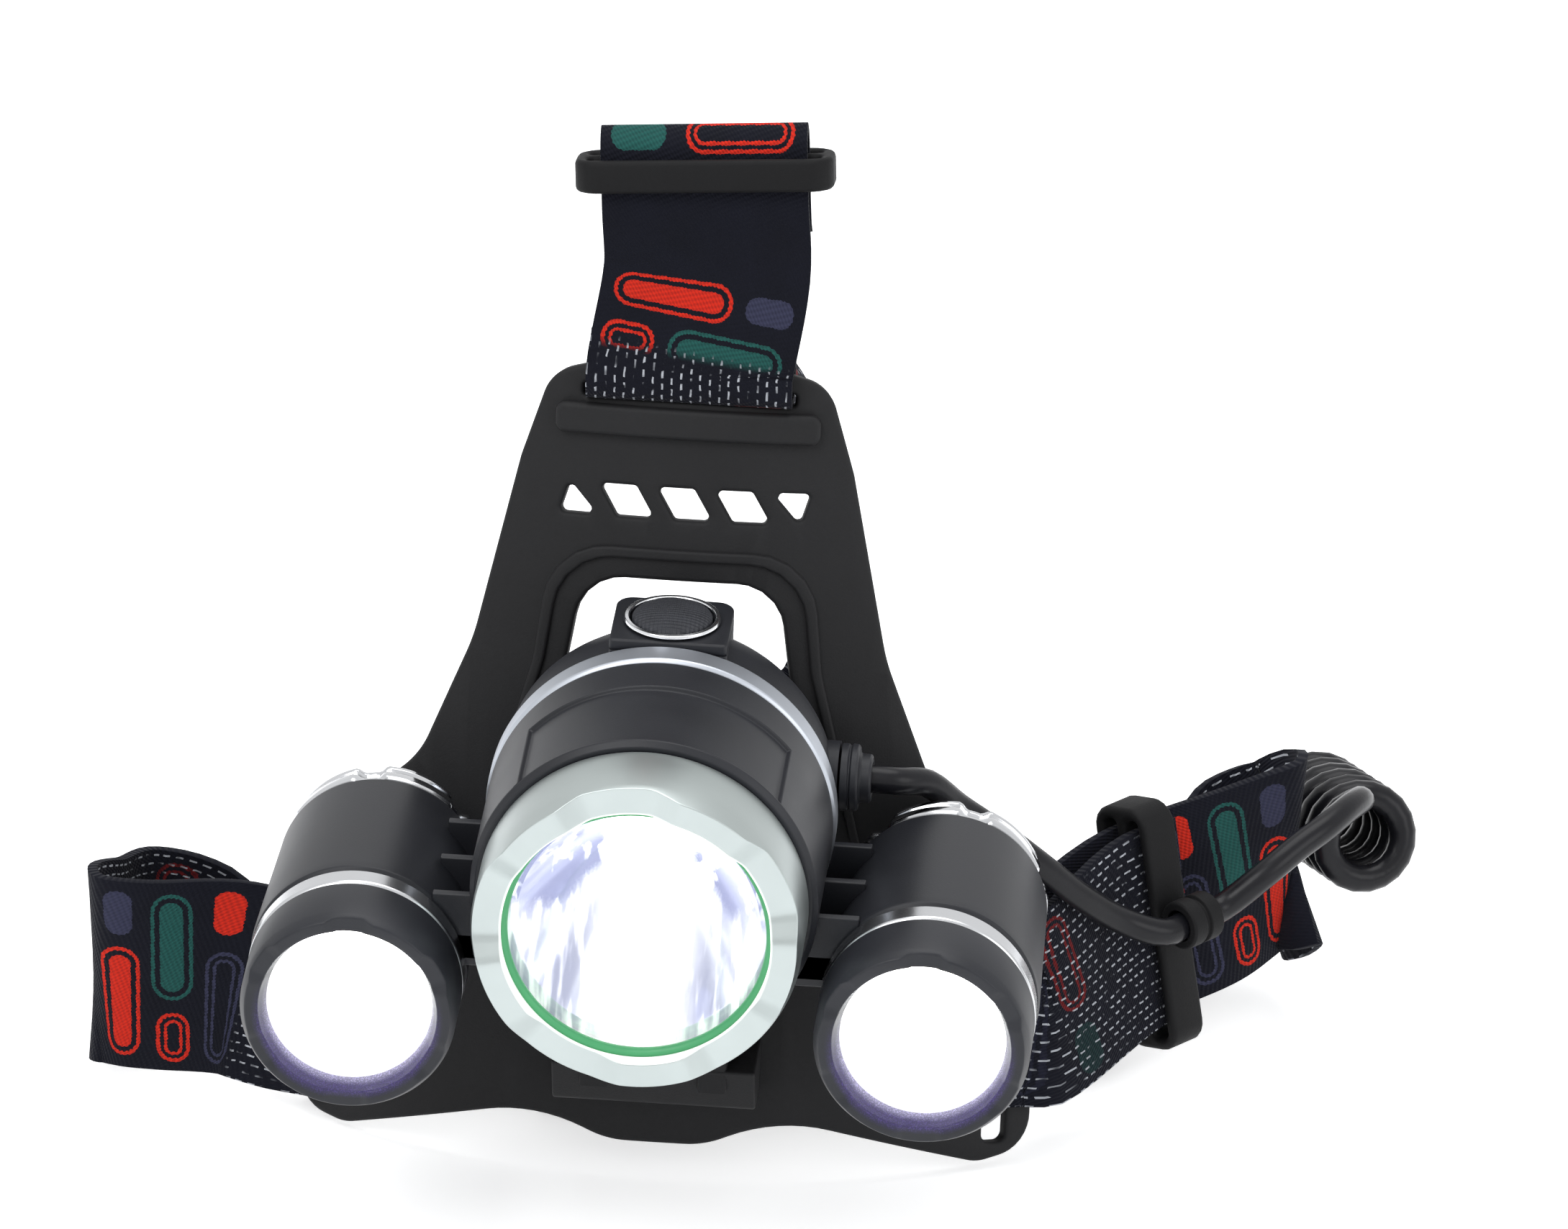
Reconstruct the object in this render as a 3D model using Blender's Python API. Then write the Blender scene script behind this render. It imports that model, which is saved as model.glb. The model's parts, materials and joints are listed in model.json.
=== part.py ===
"""Three-lamp headlamp: a tilting lamp cluster on a bent forehead plate, elastic straps and a battery case.

Metres, +Z up. The lamps look along -Y, +X is on the right of a viewer facing them, and the part stands on z = 0.
The origin lies on the flat face that the battery case rests on, below the middle plane of the lamp cluster.
"""

import math

import bmesh
import bpy
from mathutils import Matrix, Vector

MM = 0.001
GAP = 0.3 * MM
FACETS = 24
LARGE_FACETS = 32
SMALL_FACETS = 16
CORD_FACETS = 8
WIRE_FACETS = 6

# Lamp frame: its origin is on the main lamp's axis, at the front face of the bezel
LAMP_FRONT = -94.0 * MM
LAMP_HEIGHT = 60.4 * MM

# Main lamp, front to back
BEZEL_RADIUS = 23.2 * MM
BEZEL_LENGTH = 13.0 * MM
BEZEL_CHAMFER = 1.4 * MM
BEZEL_OPENING = 18.9 * MM
BEZEL_LIP = 2.2 * MM
BEZEL_BORE = 20.2 * MM
BEZEL_LOBES = 6
BEZEL_NOTCH_DEPTH = 1.8 * MM
BEZEL_NOTCH_WIDTH = 11.0 * MM
BEZEL_NOTCH_SLOPE = 2.2 * MM
BEZEL_NOTCH_TURN = math.radians(21)
SEAL_WIRE = 0.75 * MM
LENS_THICKNESS = 1.6 * MM
REFLECTOR_FLANGE = 1.2 * MM
REFLECTOR_DEPTH = 20.0 * MM
REFLECTOR_THROAT = 3.6 * MM
REFLECTOR_WALL = 0.9 * MM
LED_BOARD_RADIUS = 10.0 * MM
LED_BOARD_THICKNESS = 1.6 * MM
LED_DOME = 2.6 * MM
HOUSING_RADIUS = 24.5 * MM
HOUSING_WALL = 2.5 * MM
HOUSING_LENGTH = 25.4 * MM
NECK_WALL = 1.6 * MM
PANEL_DEPTH = 0.6 * MM
PANEL_HALF_ANGLE = math.radians(49)
PANEL_MARGIN_FRONT = 1.2 * MM
PANEL_MARGIN_REAR = 7.4 * MM
SINK_OVERHANG = 0.3 * MM
SINK_LENGTH = 4.8 * MM
SINK_POST_RADIUS = 11.0 * MM
CAP_RADIUS = 24.0 * MM
CAP_LENGTH = 15.6 * MM
CAP_BACK_RADIUS = 18.0 * MM
CAP_WALL = 2.2 * MM

# Power button on top of the rear cap
BOSS_WIDTH = 16.7 * MM
BOSS_LENGTH = 14.4 * MM
BOSS_RISE = 1.0 * MM
BOSS_WALL = 1.8 * MM
BOSS_CORNER = 2.4 * MM
BUTTON_RADIUS = 5.7 * MM
BUTTON_DOME = 1.3 * MM
BUTTON_FLANGE = 0.9 * MM
BUTTON_FLANGE_RIM = 1.1 * MM
BUTTON_TRAVEL = 1.0 * MM
BUTTON_RING_WIDTH = 0.9 * MM
BUTTON_RING_HEIGHT = 0.5 * MM
BOARD_THICKNESS = 1.6 * MM
BOARD_LENGTH = 7.0 * MM
BOARD_WIDTH = 19.0 * MM
SWITCH_SIZE = 6.0 * MM
SWITCH_HEIGHT = 3.0 * MM
SWITCH_STEM = 1.2 * MM

# Side lamps
SIDE_OFFSET = 40.2 * MM
SIDE_DROP = 15.0 * MM
SIDE_SETBACK = 2.0 * MM
SIDE_BEZEL_RADIUS = 15.2 * MM
SIDE_BEZEL_LENGTH = 10.5 * MM
SIDE_CHAMFER = 0.8 * MM
SIDE_OPENING = 12.6 * MM
SIDE_THROAT = 11.6 * MM
SIDE_LIP = 3.6 * MM
SIDE_BORE = 13.4 * MM
SIDE_LENS_THICKNESS = 1.4 * MM
SIDE_NOTCHES = 6
SIDE_NOTCH_DEPTH = 0.7 * MM
SIDE_NOTCH_WIDTH = 7.0 * MM
SIDE_NOTCH_SLOPE = 1.2 * MM
SIDE_FLANGE = 1.0 * MM
SIDE_REFLECTOR_DEPTH = 10.0 * MM
SIDE_LED_RADIUS = 6.0 * MM
SIDE_LED_DOME = 1.8 * MM
SIDE_NECK_WALL = 0.8 * MM
TRIM_LENGTH = 4.0 * MM
TRIM_RADIUS = 14.9 * MM
BARREL_LENGTH = 30.0 * MM
BARREL_FRONT_RADIUS = 15.4 * MM
BARREL_REAR_RADIUS = 14.4 * MM
BARREL_WALL = 2.2 * MM
BULKHEAD = 3.0 * MM
SIDE_CAP_LENGTH = 6.2 * MM
SIDE_CAP_SPIGOT = 5.0 * MM
SIDE_CAP_GROOVE = 0.8 * MM
WEB_LENGTH = 24.0 * MM
WEB_HEIGHT = 11.0 * MM
WEB_DROP = 3.0 * MM
WEB_RIB = 1.4 * MM
WEB_FLOOR = 5.0 * MM
WEB_POCKETS = 2

# Tilt hinge below the rear cap
HINGE_DEPTH = 43.5 * MM
HINGE_DROP = 33.0 * MM
PIN_RADIUS = 2.0 * MM
PIN_HEAD_RADIUS = 3.6 * MM
PIN_HEAD_LENGTH = 2.0 * MM
LUG_WIDTH = 12.0 * MM
LUG_RADIUS = 5.4 * MM
LUG_NECK = 4.2 * MM
EAR_WIDTH = 4.2 * MM
EAR_RADIUS = 5.6 * MM
FOOT_WIDTH = 29.0 * MM
FOOT_HEIGHT = 8.0 * MM
FOOT_REACH = 6.0 * MM

# Forehead plate, in its own flat coordinates: across from the middle, and up from the main lamp's axis
PLATE_DEPTH = 58.0 * MM
PLATE_THICKNESS = 2.4 * MM
PLATE_LEAN = math.radians(14)
PLATE_BEND = 105.0 * MM
PLATE_SLICE = 11.4 * MM
PLATE_TOP = 54.5 * MM
PLATE_CROWN = 2.1 * MM
PLATE_TOP_HALF = 20.0 * MM
PLATE_WAIST = 32.0 * MM
PLATE_WING = 55.2 * MM
PLATE_WING_TOP = -18.0 * MM
PLATE_FOOT = -58.6 * MM
OPENING_TOP = 25.6 * MM
OPENING_HALF = 15.0 * MM
OPENING_LOW_HALF = 28.0 * MM
OPENING_BOTTOM = -27.0 * MM
RIM_WIDTH = 4.6 * MM
RIM_HEIGHT = 0.8 * MM
SLAT_TOP = 39.0 * MM
SLAT_BOTTOM = 34.4 * MM
SLAT_CORNER = 0.7 * MM
SLAT_WIDTH = 5.4 * MM
SLAT_PITCH = 8.3 * MM
SLAT_SLANT = 2.8 * MM
STRAP_WIDTH = 29.2 * MM
STRAP_THICKNESS = 1.5 * MM
STRAP_CLEARANCE = 0.5 * MM
SLOT_MARGIN = 1.8 * MM
SLOT_WIDTH = 3.6 * MM
TOP_SLOT = 52.0 * MM
TOP_SLOT_WIDTH = 2.8 * MM
WING_SLOT = 49.5 * MM
WING_SLOT_MIDDLE = -38.1 * MM
WING_SLOT_LENGTH = 35.2 * MM
LEFT_STRAP_MIDDLE = -40.6 * MM
RIGHT_STRAP_MIDDLE = -35.6 * MM
BAR_LENGTH = 37.5 * MM
BAR_HEIGHT = 4.4 * MM
BAR_RISE = 1.6 * MM

# Strap adjusters and cord clip
GLIDE_END = 1.9 * MM
GLIDE_HEIGHT = 4.7 * MM
SIDE_GLIDE_HEIGHT = 6.2 * MM
SIDE_LEAN = math.radians(14)
GLIDE_BAR = 1.8 * MM
GLIDE_SLOT = 2.6 * MM
TOP_GLIDE = 84.7 * MM
TOP_GLIDE_TURN = math.radians(4)
TOP_GLIDE_SHIFT = 0.8 * MM
TOP_FOLD = 3.9 * MM
CLIP_WALL = 1.3 * MM
CLIP_LENGTH = 6.0 * MM

# Power cord
CORD_RADIUS = 2.0 * MM
GLAND_FLANGE_RADIUS = 4.8 * MM
GLAND_FLANGE = 2.6 * MM
GLAND_LENGTH = 1.8 * MM
GLAND_SETBACK = 6.4 * MM
GLAND_RISE = 2.5 * MM
COIL_RADIUS = 6.1 * MM
COIL_PITCH = 4.7 * MM
COIL_LOOPS = 6
CURL_POINTS = 10

# Battery case, lying on its flat back behind the plate
CASE_MIDDLE = -4.0 * MM
CASE_HEIGHT = 20.0 * MM
CASE_WALL = 2.0 * MM
CASE_CORNER = 6.0 * MM
FLANGE_LOW = 2.6 * MM
FLANGE_HEIGHT = 3.0 * MM
FLANGE_BAR = 3.2 * MM
COVER_HEIGHT = 5.0 * MM
KNUCKLE_RADIUS = 2.4 * MM
KNUCKLE_LENGTH = 8.0 * MM
KNUCKLE_OFFSET = 12.0 * MM
COVER_PIN_RADIUS = 1.0 * MM
TAB_WIDTH = 14.0 * MM
TAB_REACH = 2.0 * MM
CELL_RADIUS = 9.0 * MM
CELL_LENGTH = 65.0 * MM
CELL_BUTTON = 1.5 * MM
CONTACT_THICKNESS = 0.6 * MM
SPRING_RADIUS = 3.2 * MM
SPRING_WIRE = 0.5 * MM
SPRING_LOOPS = 4
SPRING_POINTS = 8
SPRING_LENGTH = 8.0 * MM
CASE_GLAND_INSET = 10.0 * MM
CASE_WIDTH = CELL_LENGTH + SPRING_LENGTH + 2 * (CONTACT_THICKNESS + CASE_WALL) + 6 * GAP
CASE_LENGTH = 4 * CELL_RADIUS + 2 * CASE_WALL + 7 * GAP

parts = bpy.data.collections.new("headlamp")
cutters = bpy.data.collections.new("cutters")
materials = {}


# Scene and materials


def clear_scene():
    for obj in list(bpy.data.objects):
        bpy.data.objects.remove(obj)
    for collection in (parts, cutters):
        bpy.context.scene.collection.children.link(collection)


def make_material(name, colour, roughness, metallic=0.0):
    material = bpy.data.materials.new(name)
    material.use_nodes = True
    shader = material.node_tree.nodes["Principled BSDF"]
    shader.inputs["Base Color"].default_value = (*colour, 1.0)
    shader.inputs["Roughness"].default_value = roughness
    shader.inputs["Metallic"].default_value = metallic
    materials[name] = material


def make_materials():
    make_material("black_plastic", (0.02, 0.021, 0.024), 0.5)
    make_material("plate_rubber", (0.014, 0.014, 0.015), 0.7)
    make_material("webbing", (0.012, 0.014, 0.022), 0.9)
    make_material("cord_jacket", (0.012, 0.012, 0.014), 0.4)
    make_material("silver_aluminium", (0.62, 0.68, 0.66), 0.35, 1.0)
    make_material("grey_aluminium", (0.42, 0.45, 0.5), 0.4, 1.0)
    make_material("chrome", (0.8, 0.8, 0.8), 0.12, 1.0)
    make_material("mirror", (0.92, 0.92, 0.94), 0.05, 1.0)
    make_material("glass", (0.9, 0.95, 0.95), 0.02)
    make_material("green_seal", (0.18, 0.55, 0.25), 0.5)
    make_material("emitter", (0.95, 0.9, 0.6), 0.4)
    make_material("circuit_board", (0.05, 0.22, 0.1), 0.5)
    make_material("button_rubber", (0.02, 0.022, 0.024), 0.85)
    make_material("steel", (0.6, 0.6, 0.62), 0.3, 1.0)
    make_material("cell_wrap", (0.05, 0.12, 0.35), 0.4)


# Objects


def add_empty(name, location):
    empty = bpy.data.objects.new(name, None)
    empty.location = location
    parts.objects.link(empty)
    return empty


def add_part(name, mesh, material, place=Matrix(), parent=None):
    obj = bpy.data.objects.new(name, mesh)
    obj.matrix_world = place
    if parent:
        obj.parent = parent
        obj.matrix_parent_inverse = Matrix.Translation(parent.location).inverted()
    mesh.materials.append(materials[material])
    parts.objects.link(obj)
    return obj


def add_tool(name, mesh, place=Matrix(), parent=None):
    """A body used only to cut or extend another one."""
    obj = bpy.data.objects.new(name, mesh)
    obj.matrix_world = place
    if parent:
        obj.parent = parent
        obj.matrix_parent_inverse = Matrix.Translation(parent.location).inverted()
    obj.hide_render = True
    obj.display_type = "WIRE"
    cutters.objects.link(obj)
    return obj


def boolean(target, mesh, operation, place=None):
    tool = add_tool(mesh.name, mesh, target.matrix_world if place is None else place, target.parent)
    modifier = target.modifiers.new(mesh.name, "BOOLEAN")
    modifier.operation = operation
    modifier.object = tool


def cut(target, mesh, place=None):
    boolean(target, mesh, "DIFFERENCE", place)


def join(target, mesh, place=None):
    boolean(target, mesh, "UNION", place)


# Meshes


def finish_mesh(bm, name):
    bmesh.ops.recalc_face_normals(bm, faces=bm.faces)
    mesh = bpy.data.meshes.new(name)
    bm.to_mesh(mesh)
    bm.free()
    mesh.shade_smooth()
    mesh.set_sharp_from_angle(angle=math.radians(35))
    return mesh


def turned(name, profile, steps=FACETS):
    """A closed solid turned about Y from (radius, depth) points; it starts and ends on the axis or is a ring."""
    bm = bmesh.new()
    verts = [bm.verts.new((radius, depth, 0)) for radius, depth in profile]
    edges = [bm.edges.new(pair) for pair in zip(verts, verts[1:])]
    if profile[0][0] or profile[-1][0]:
        edges.append(bm.edges.new((verts[-1], verts[0])))
    bmesh.ops.spin(
        bm, geom=verts + edges, axis=(0, 1, 0), cent=(0, 0, 0), angle=2 * math.pi, steps=steps, use_merge=True,
    )
    bmesh.ops.remove_doubles(bm, verts=bm.verts, dist=1e-7)
    return finish_mesh(bm, name)


def prism(name, outline, axis, low, high):
    """An outline pushed along an axis: (y, z) points for X, (x, z) for Y and (x, y) for Z."""
    place = {"X": lambda a, b, c: (c, a, b), "Y": lambda a, b, c: (a, c, b), "Z": lambda a, b, c: (a, b, c)}[axis]
    bm = bmesh.new()
    near = [bm.verts.new(place(a, b, low)) for a, b in outline]
    far = [bm.verts.new(place(a, b, high)) for a, b in outline]
    bm.faces.new(near)
    bm.faces.new(far)
    for i in range(len(near)):
        bm.faces.new((near[i - 1], near[i], far[i], far[i - 1]))
    return finish_mesh(bm, name)


def box(name, low, high):
    (x, y, z), (far_x, far_y, far_z) = low, high
    return prism(name, [(x, y), (far_x, y), (far_x, far_y), (x, far_y)], "Z", z, far_z)


def rod(name, start, end, radius, steps=SMALL_FACETS):
    """A round bar between two points."""
    start, end = Vector(start), Vector(end)
    turn = (end - start).to_track_quat("Z", "Y").to_matrix().to_4x4()
    bm = bmesh.new()
    bmesh.ops.create_cone(
        bm, cap_ends=True, segments=steps, radius1=radius, radius2=radius, depth=(end - start).length,
        matrix=Matrix.Translation((start + end) / 2) @ turn,
    )
    return finish_mesh(bm, name)


def disc(name, radius, start, thickness, chamfer):
    end = start + thickness
    return turned(name, [
        (0, end),
        (radius - chamfer, end),
        (radius, end - chamfer),
        (radius, start + chamfer),
        (radius - chamfer, start),
        (0, start),
    ])


def ring_of(name, mesh, count, first, axis="Y"):
    """Copies of a mesh, evenly spaced about an axis, as one mesh."""
    bm = bmesh.new()
    for k in range(count):
        copy = mesh.copy()
        copy.transform(Matrix.Rotation(first + 2 * math.pi * k / count, 4, axis))
        bm.from_mesh(copy)
    return finish_mesh(bm, name)


def fillet(corners, steps=3):
    """A closed outline from (x, y, radius) corners, with an arc in each rounded one."""
    outline = []
    for i, (x, y, radius) in enumerate(corners):
        here = Vector((x, y))
        if not radius:
            outline.append((x, y))
            continue
        before = (Vector(corners[i - 1][:2]) - here).normalized()
        after = (Vector(corners[(i + 1) % len(corners)][:2]) - here).normalized()
        half = before.angle(after) / 2
        centre = here + (before + after).normalized() * (radius / math.sin(half))
        first = here + before * (radius / math.tan(half)) - centre
        last = here + after * (radius / math.tan(half)) - centre
        for k in range(steps + 1):
            arm = first.lerp(last, k / steps).normalized() * radius
            outline.append(tuple(centre + arm))
    return outline


def rectangle(low, high, radius=0.0):
    (x, y), (far_x, far_y) = low, high
    return fillet([(x, y, radius), (far_x, y, radius), (far_x, far_y, radius), (x, far_y, radius)])


def mirrored(half):
    """A whole outline from its right half, listed from the top middle to the bottom middle."""
    return half + [(-x, z, r) for x, z, r in reversed(half) if x > 0]


def sheet(name, outlines, thickness):
    """A flat sheet in X and Z from y = 0 to y = thickness; the outlines after the first are holes."""
    curve = bpy.data.curves.new(name, "CURVE")
    curve.dimensions = "2D"
    curve.fill_mode = "BOTH"
    curve.extrude = thickness / 2
    for outline in outlines:
        spline = curve.splines.new("POLY")
        spline.points.add(len(outline) - 1)
        for point, (x, z) in zip(spline.points, outline):
            point.co = (x, z, 0, 1)
        spline.use_cyclic_u = True
    guide = bpy.data.objects.new(name, curve)
    cutters.objects.link(guide)
    graph = bpy.context.evaluated_depsgraph_get()
    flat = bpy.data.meshes.new_from_object(guide.evaluated_get(graph))
    bpy.data.objects.remove(guide)
    bm = bmesh.new()
    bm.from_mesh(flat)
    bmesh.ops.remove_doubles(bm, verts=bm.verts, dist=1e-7)
    for vert in bm.verts:
        x, z, y = vert.co
        vert.co = (x, thickness / 2 - y, z)
    return finish_mesh(bm, name)


def smooth_path(points, steps, spans=None):
    """Points on a smooth curve through the given points, which lie the spans apart."""
    points = [Vector(point) for point in points]
    spans = spans or [(b - a).length for a, b in zip(points, points[1:])]
    slopes = []
    for i in range(len(points)):
        low, high = max(i - 1, 0), min(i + 1, len(points) - 1)
        slopes.append((points[high] - points[low]) / sum(spans[low:high]))
    path = []
    for i, span in enumerate(spans):
        for k in range(steps):
            t = k / steps
            blend = t * t * (3 - 2 * t)
            leave, arrive = span * t * (1 - t)**2, span * t * t * (t - 1)
            path.append(points[i].lerp(points[i + 1], blend) + slopes[i] * leave + slopes[i + 1] * arrive)
    return path + [points[-1]]


def skin(name, loops):
    """A closed surface through loops of points, capped at both ends."""
    bm = bmesh.new()
    rings = [[bm.verts.new(point) for point in loop] for loop in loops]
    for near, far in zip(rings, rings[1:]):
        for k in range(len(near)):
            bm.faces.new((near[k], near[k - 1], far[k - 1], far[k]))
    bm.faces.new(rings[0])
    bm.faces.new(rings[-1])
    return finish_mesh(bm, name)


def direction(points, i):
    return (points[min(i + 1, len(points) - 1)] - points[max(i - 1, 0)]).normalized()


def strap(name, stations, steps=3):
    """A flat strap through stations, each a middle point and a width direction."""
    middles = smooth_path([middle for middle, side in stations], steps)
    spans = [(b - a).length for (a, _), (b, _) in zip(stations, stations[1:])]
    sides = smooth_path([side for middle, side in stations], steps, spans)
    loops = []
    for i, (middle, side) in enumerate(zip(middles, sides)):
        along = direction(middles, i)
        across = (side - along * side.dot(along)).normalized()
        face = along.cross(across) * (STRAP_THICKNESS / 2)
        across *= STRAP_WIDTH / 2
        corners = (across + face, across - face, -across - face, face - across)
        loops.append([middle + corner for corner in corners])
    add_part(name, skin(name, loops), "webbing")


def tube(name, points, radius, material, sides):
    """A round cord along the points, with closed ends."""
    points = [Vector(point) for point in points]
    angles = [2 * math.pi * k / sides for k in range(sides)]
    across = Vector((0, 0, 1))
    loops = []
    for i, point in enumerate(points):
        along = direction(points, i)
        across = (across - along * across.dot(along)).normalized()
        over = along.cross(across)
        loops.append([point + radius * (across * math.cos(a) + over * math.sin(a)) for a in angles])
    add_part(name, skin(name, loops), material)


def least_gap(points, turn, radius):
    """The least clear distance between the turns of a wound wire, measured on its points."""
    pairs = ((a, b) for k, a in enumerate(points) for b in points[k + turn // 2 + 1:])
    return min((a - b).length for a, b in pairs) - 2 * radius


def in_lamp(x, y, z):
    """A point of the lamp frame, given in millimetres, in the frame of the whole part."""
    return Vector((x * MM, LAMP_FRONT + y * MM, LAMP_HEIGHT + z * MM))


def frame(x, y, origin):
    """A placing matrix with the given X and Y directions."""
    x, y = Vector(x).normalized(), Vector(y).normalized()
    turn = Matrix((x, y, x.cross(y))).transposed().to_4x4()
    return Matrix.Translation(origin) @ turn


LAMP = Matrix.Translation((0, LAMP_FRONT, LAMP_HEIGHT))


# Optics, the same for all three lamps


def add_reflector(name, place, pivot, depth, flange, mouth, throat, length):
    """A parabolic bowl behind a flat flange, open at its throat for the emitter."""
    radii = [throat + (mouth - throat) * k / 5 for k in range(6)]
    bowl = [(r, length * (mouth**2 - r**2) / (mouth**2 - throat**2)) for r in radii]
    back = [(r + REFLECTOR_WALL, d) for r, d in bowl if d > REFLECTOR_FLANGE]
    back.append((mouth + REFLECTOR_WALL, REFLECTOR_FLANGE))
    profile = back + [(flange, REFLECTOR_FLANGE), (flange, 0)] + bowl[::-1]
    add_part(name, turned(name, profile), "mirror", place @ Matrix.Translation((0, depth, 0)), pivot)


def add_led(name, place, pivot, depth, radius, dome):
    """A round board with a domed emitter on its front."""
    steps = [math.pi / 8 * k for k in range(4)]
    profile = [(0, LED_BOARD_THICKNESS), (radius, LED_BOARD_THICKNESS), (radius, 0)]
    profile += [(dome * math.cos(a), -dome * math.sin(a)) for a in steps] + [(0, -dome)]
    mesh = turned(name, profile, SMALL_FACETS)
    add_part(name, mesh, "emitter", place @ Matrix.Translation((0, depth, 0)), pivot)


def notch_mesh(width, depth, slope, radius):
    """A trapezium across the front edge of a bezel at +Z."""
    half = width / 2
    outline = [(-half, -depth), (half, -depth), (half, 0), (half - slope, depth), (slope - half, depth), (-half, 0)]
    return prism("notch", outline, "Z", radius * 0.7, radius * 1.1)


# Main lamp


def build_main_lamp(pivot):
    bezel = add_part(
        "main_bezel",
        turned("main_bezel", [
            (BEZEL_RADIUS, BEZEL_LENGTH),
            (BEZEL_RADIUS, 2 * BEZEL_CHAMFER),
            (BEZEL_RADIUS - BEZEL_CHAMFER, 0),
            (BEZEL_OPENING + GAP, 0),
            (BEZEL_OPENING, GAP),
            (BEZEL_OPENING, BEZEL_LIP),
            (BEZEL_BORE, BEZEL_LIP),
            (BEZEL_BORE, BEZEL_LENGTH),
        ], LARGE_FACETS),
        "silver_aluminium", LAMP, pivot,
    )
    notch = notch_mesh(BEZEL_NOTCH_WIDTH, BEZEL_NOTCH_DEPTH, BEZEL_NOTCH_SLOPE, BEZEL_RADIUS)
    cut(bezel, ring_of("main_bezel_notches", notch, BEZEL_LOBES, BEZEL_NOTCH_TURN))

    fit = BEZEL_BORE - GAP
    depth = BEZEL_LIP + GAP
    seal = [
        (fit - SEAL_WIRE * (1 - math.cos(a)), depth + SEAL_WIRE * (1 + math.sin(a)))
        for a in (math.pi / 4 * k for k in range(8))
    ]
    add_part("lens_seal", turned("lens_seal", seal + seal[:1]), "green_seal", LAMP, pivot)
    depth += 2 * SEAL_WIRE + GAP
    add_part("main_lens", disc("main_lens", fit, depth, LENS_THICKNESS, GAP), "glass", LAMP, pivot)
    depth += LENS_THICKNESS + GAP
    neck_start = depth + REFLECTOR_FLANGE + GAP
    mouth = fit - NECK_WALL - GAP - REFLECTOR_WALL
    add_reflector("main_reflector", LAMP, pivot, depth, fit, mouth, REFLECTOR_THROAT, REFLECTOR_DEPTH)
    depth += REFLECTOR_DEPTH + GAP
    add_led("main_led", LAMP, pivot, depth, LED_BOARD_RADIUS, LED_DOME)
    post = depth + LED_BOARD_THICKNESS + GAP

    start = BEZEL_LENGTH + GAP
    end = start + HOUSING_LENGTH
    bore = HOUSING_RADIUS - HOUSING_WALL
    housing = add_part(
        "main_housing",
        turned("main_housing", [
            (HOUSING_RADIUS, end),
            (HOUSING_RADIUS, start + HOUSING_WALL / 3),
            (HOUSING_RADIUS - HOUSING_WALL / 3, start),
            (fit, start),
            (fit, neck_start),
            (fit - NECK_WALL, neck_start),
            (fit - NECK_WALL, start + HOUSING_WALL),
            (bore, start + HOUSING_WALL),
            (bore, end),
        ], LARGE_FACETS),
        "black_plastic", LAMP, pivot,
    )
    cut(housing, panel_recess(start + PANEL_MARGIN_FRONT, end - PANEL_MARGIN_REAR))

    sink_start = end + GAP
    sink_end = sink_start + SINK_LENGTH
    radius = HOUSING_RADIUS + SINK_OVERHANG
    edge = SINK_LENGTH / 10
    add_part(
        "heat_sink_ring",
        turned("heat_sink_ring", [
            (0, sink_end),
            (radius - edge, sink_end),
            (radius, sink_end - edge),
            (radius, sink_start + edge),
            (radius - edge, sink_start),
            (SINK_POST_RADIUS, sink_start),
            (SINK_POST_RADIUS, post),
            (0, post),
        ], LARGE_FACETS),
        "grey_aluminium", LAMP, pivot,
    )
    build_rear_cap(pivot, sink_end + GAP)


def panel_recess(start, end):
    """The shallow recess on top of the main housing, as a sector of a thin tube."""
    inner = HOUSING_RADIUS - PANEL_DEPTH
    outer = HOUSING_RADIUS + PANEL_DEPTH
    angles = [PANEL_HALF_ANGLE * (k / 8 - 1) for k in range(17)]
    outline = [(inner * math.sin(a), inner * math.cos(a)) for a in angles]
    outline += [(outer * math.sin(a), outer * math.cos(a)) for a in reversed(angles)]
    return prism("panel_recess", outline, "Y", start, end)


# Rear cap with the button, its switch and the hinge lug


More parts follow.
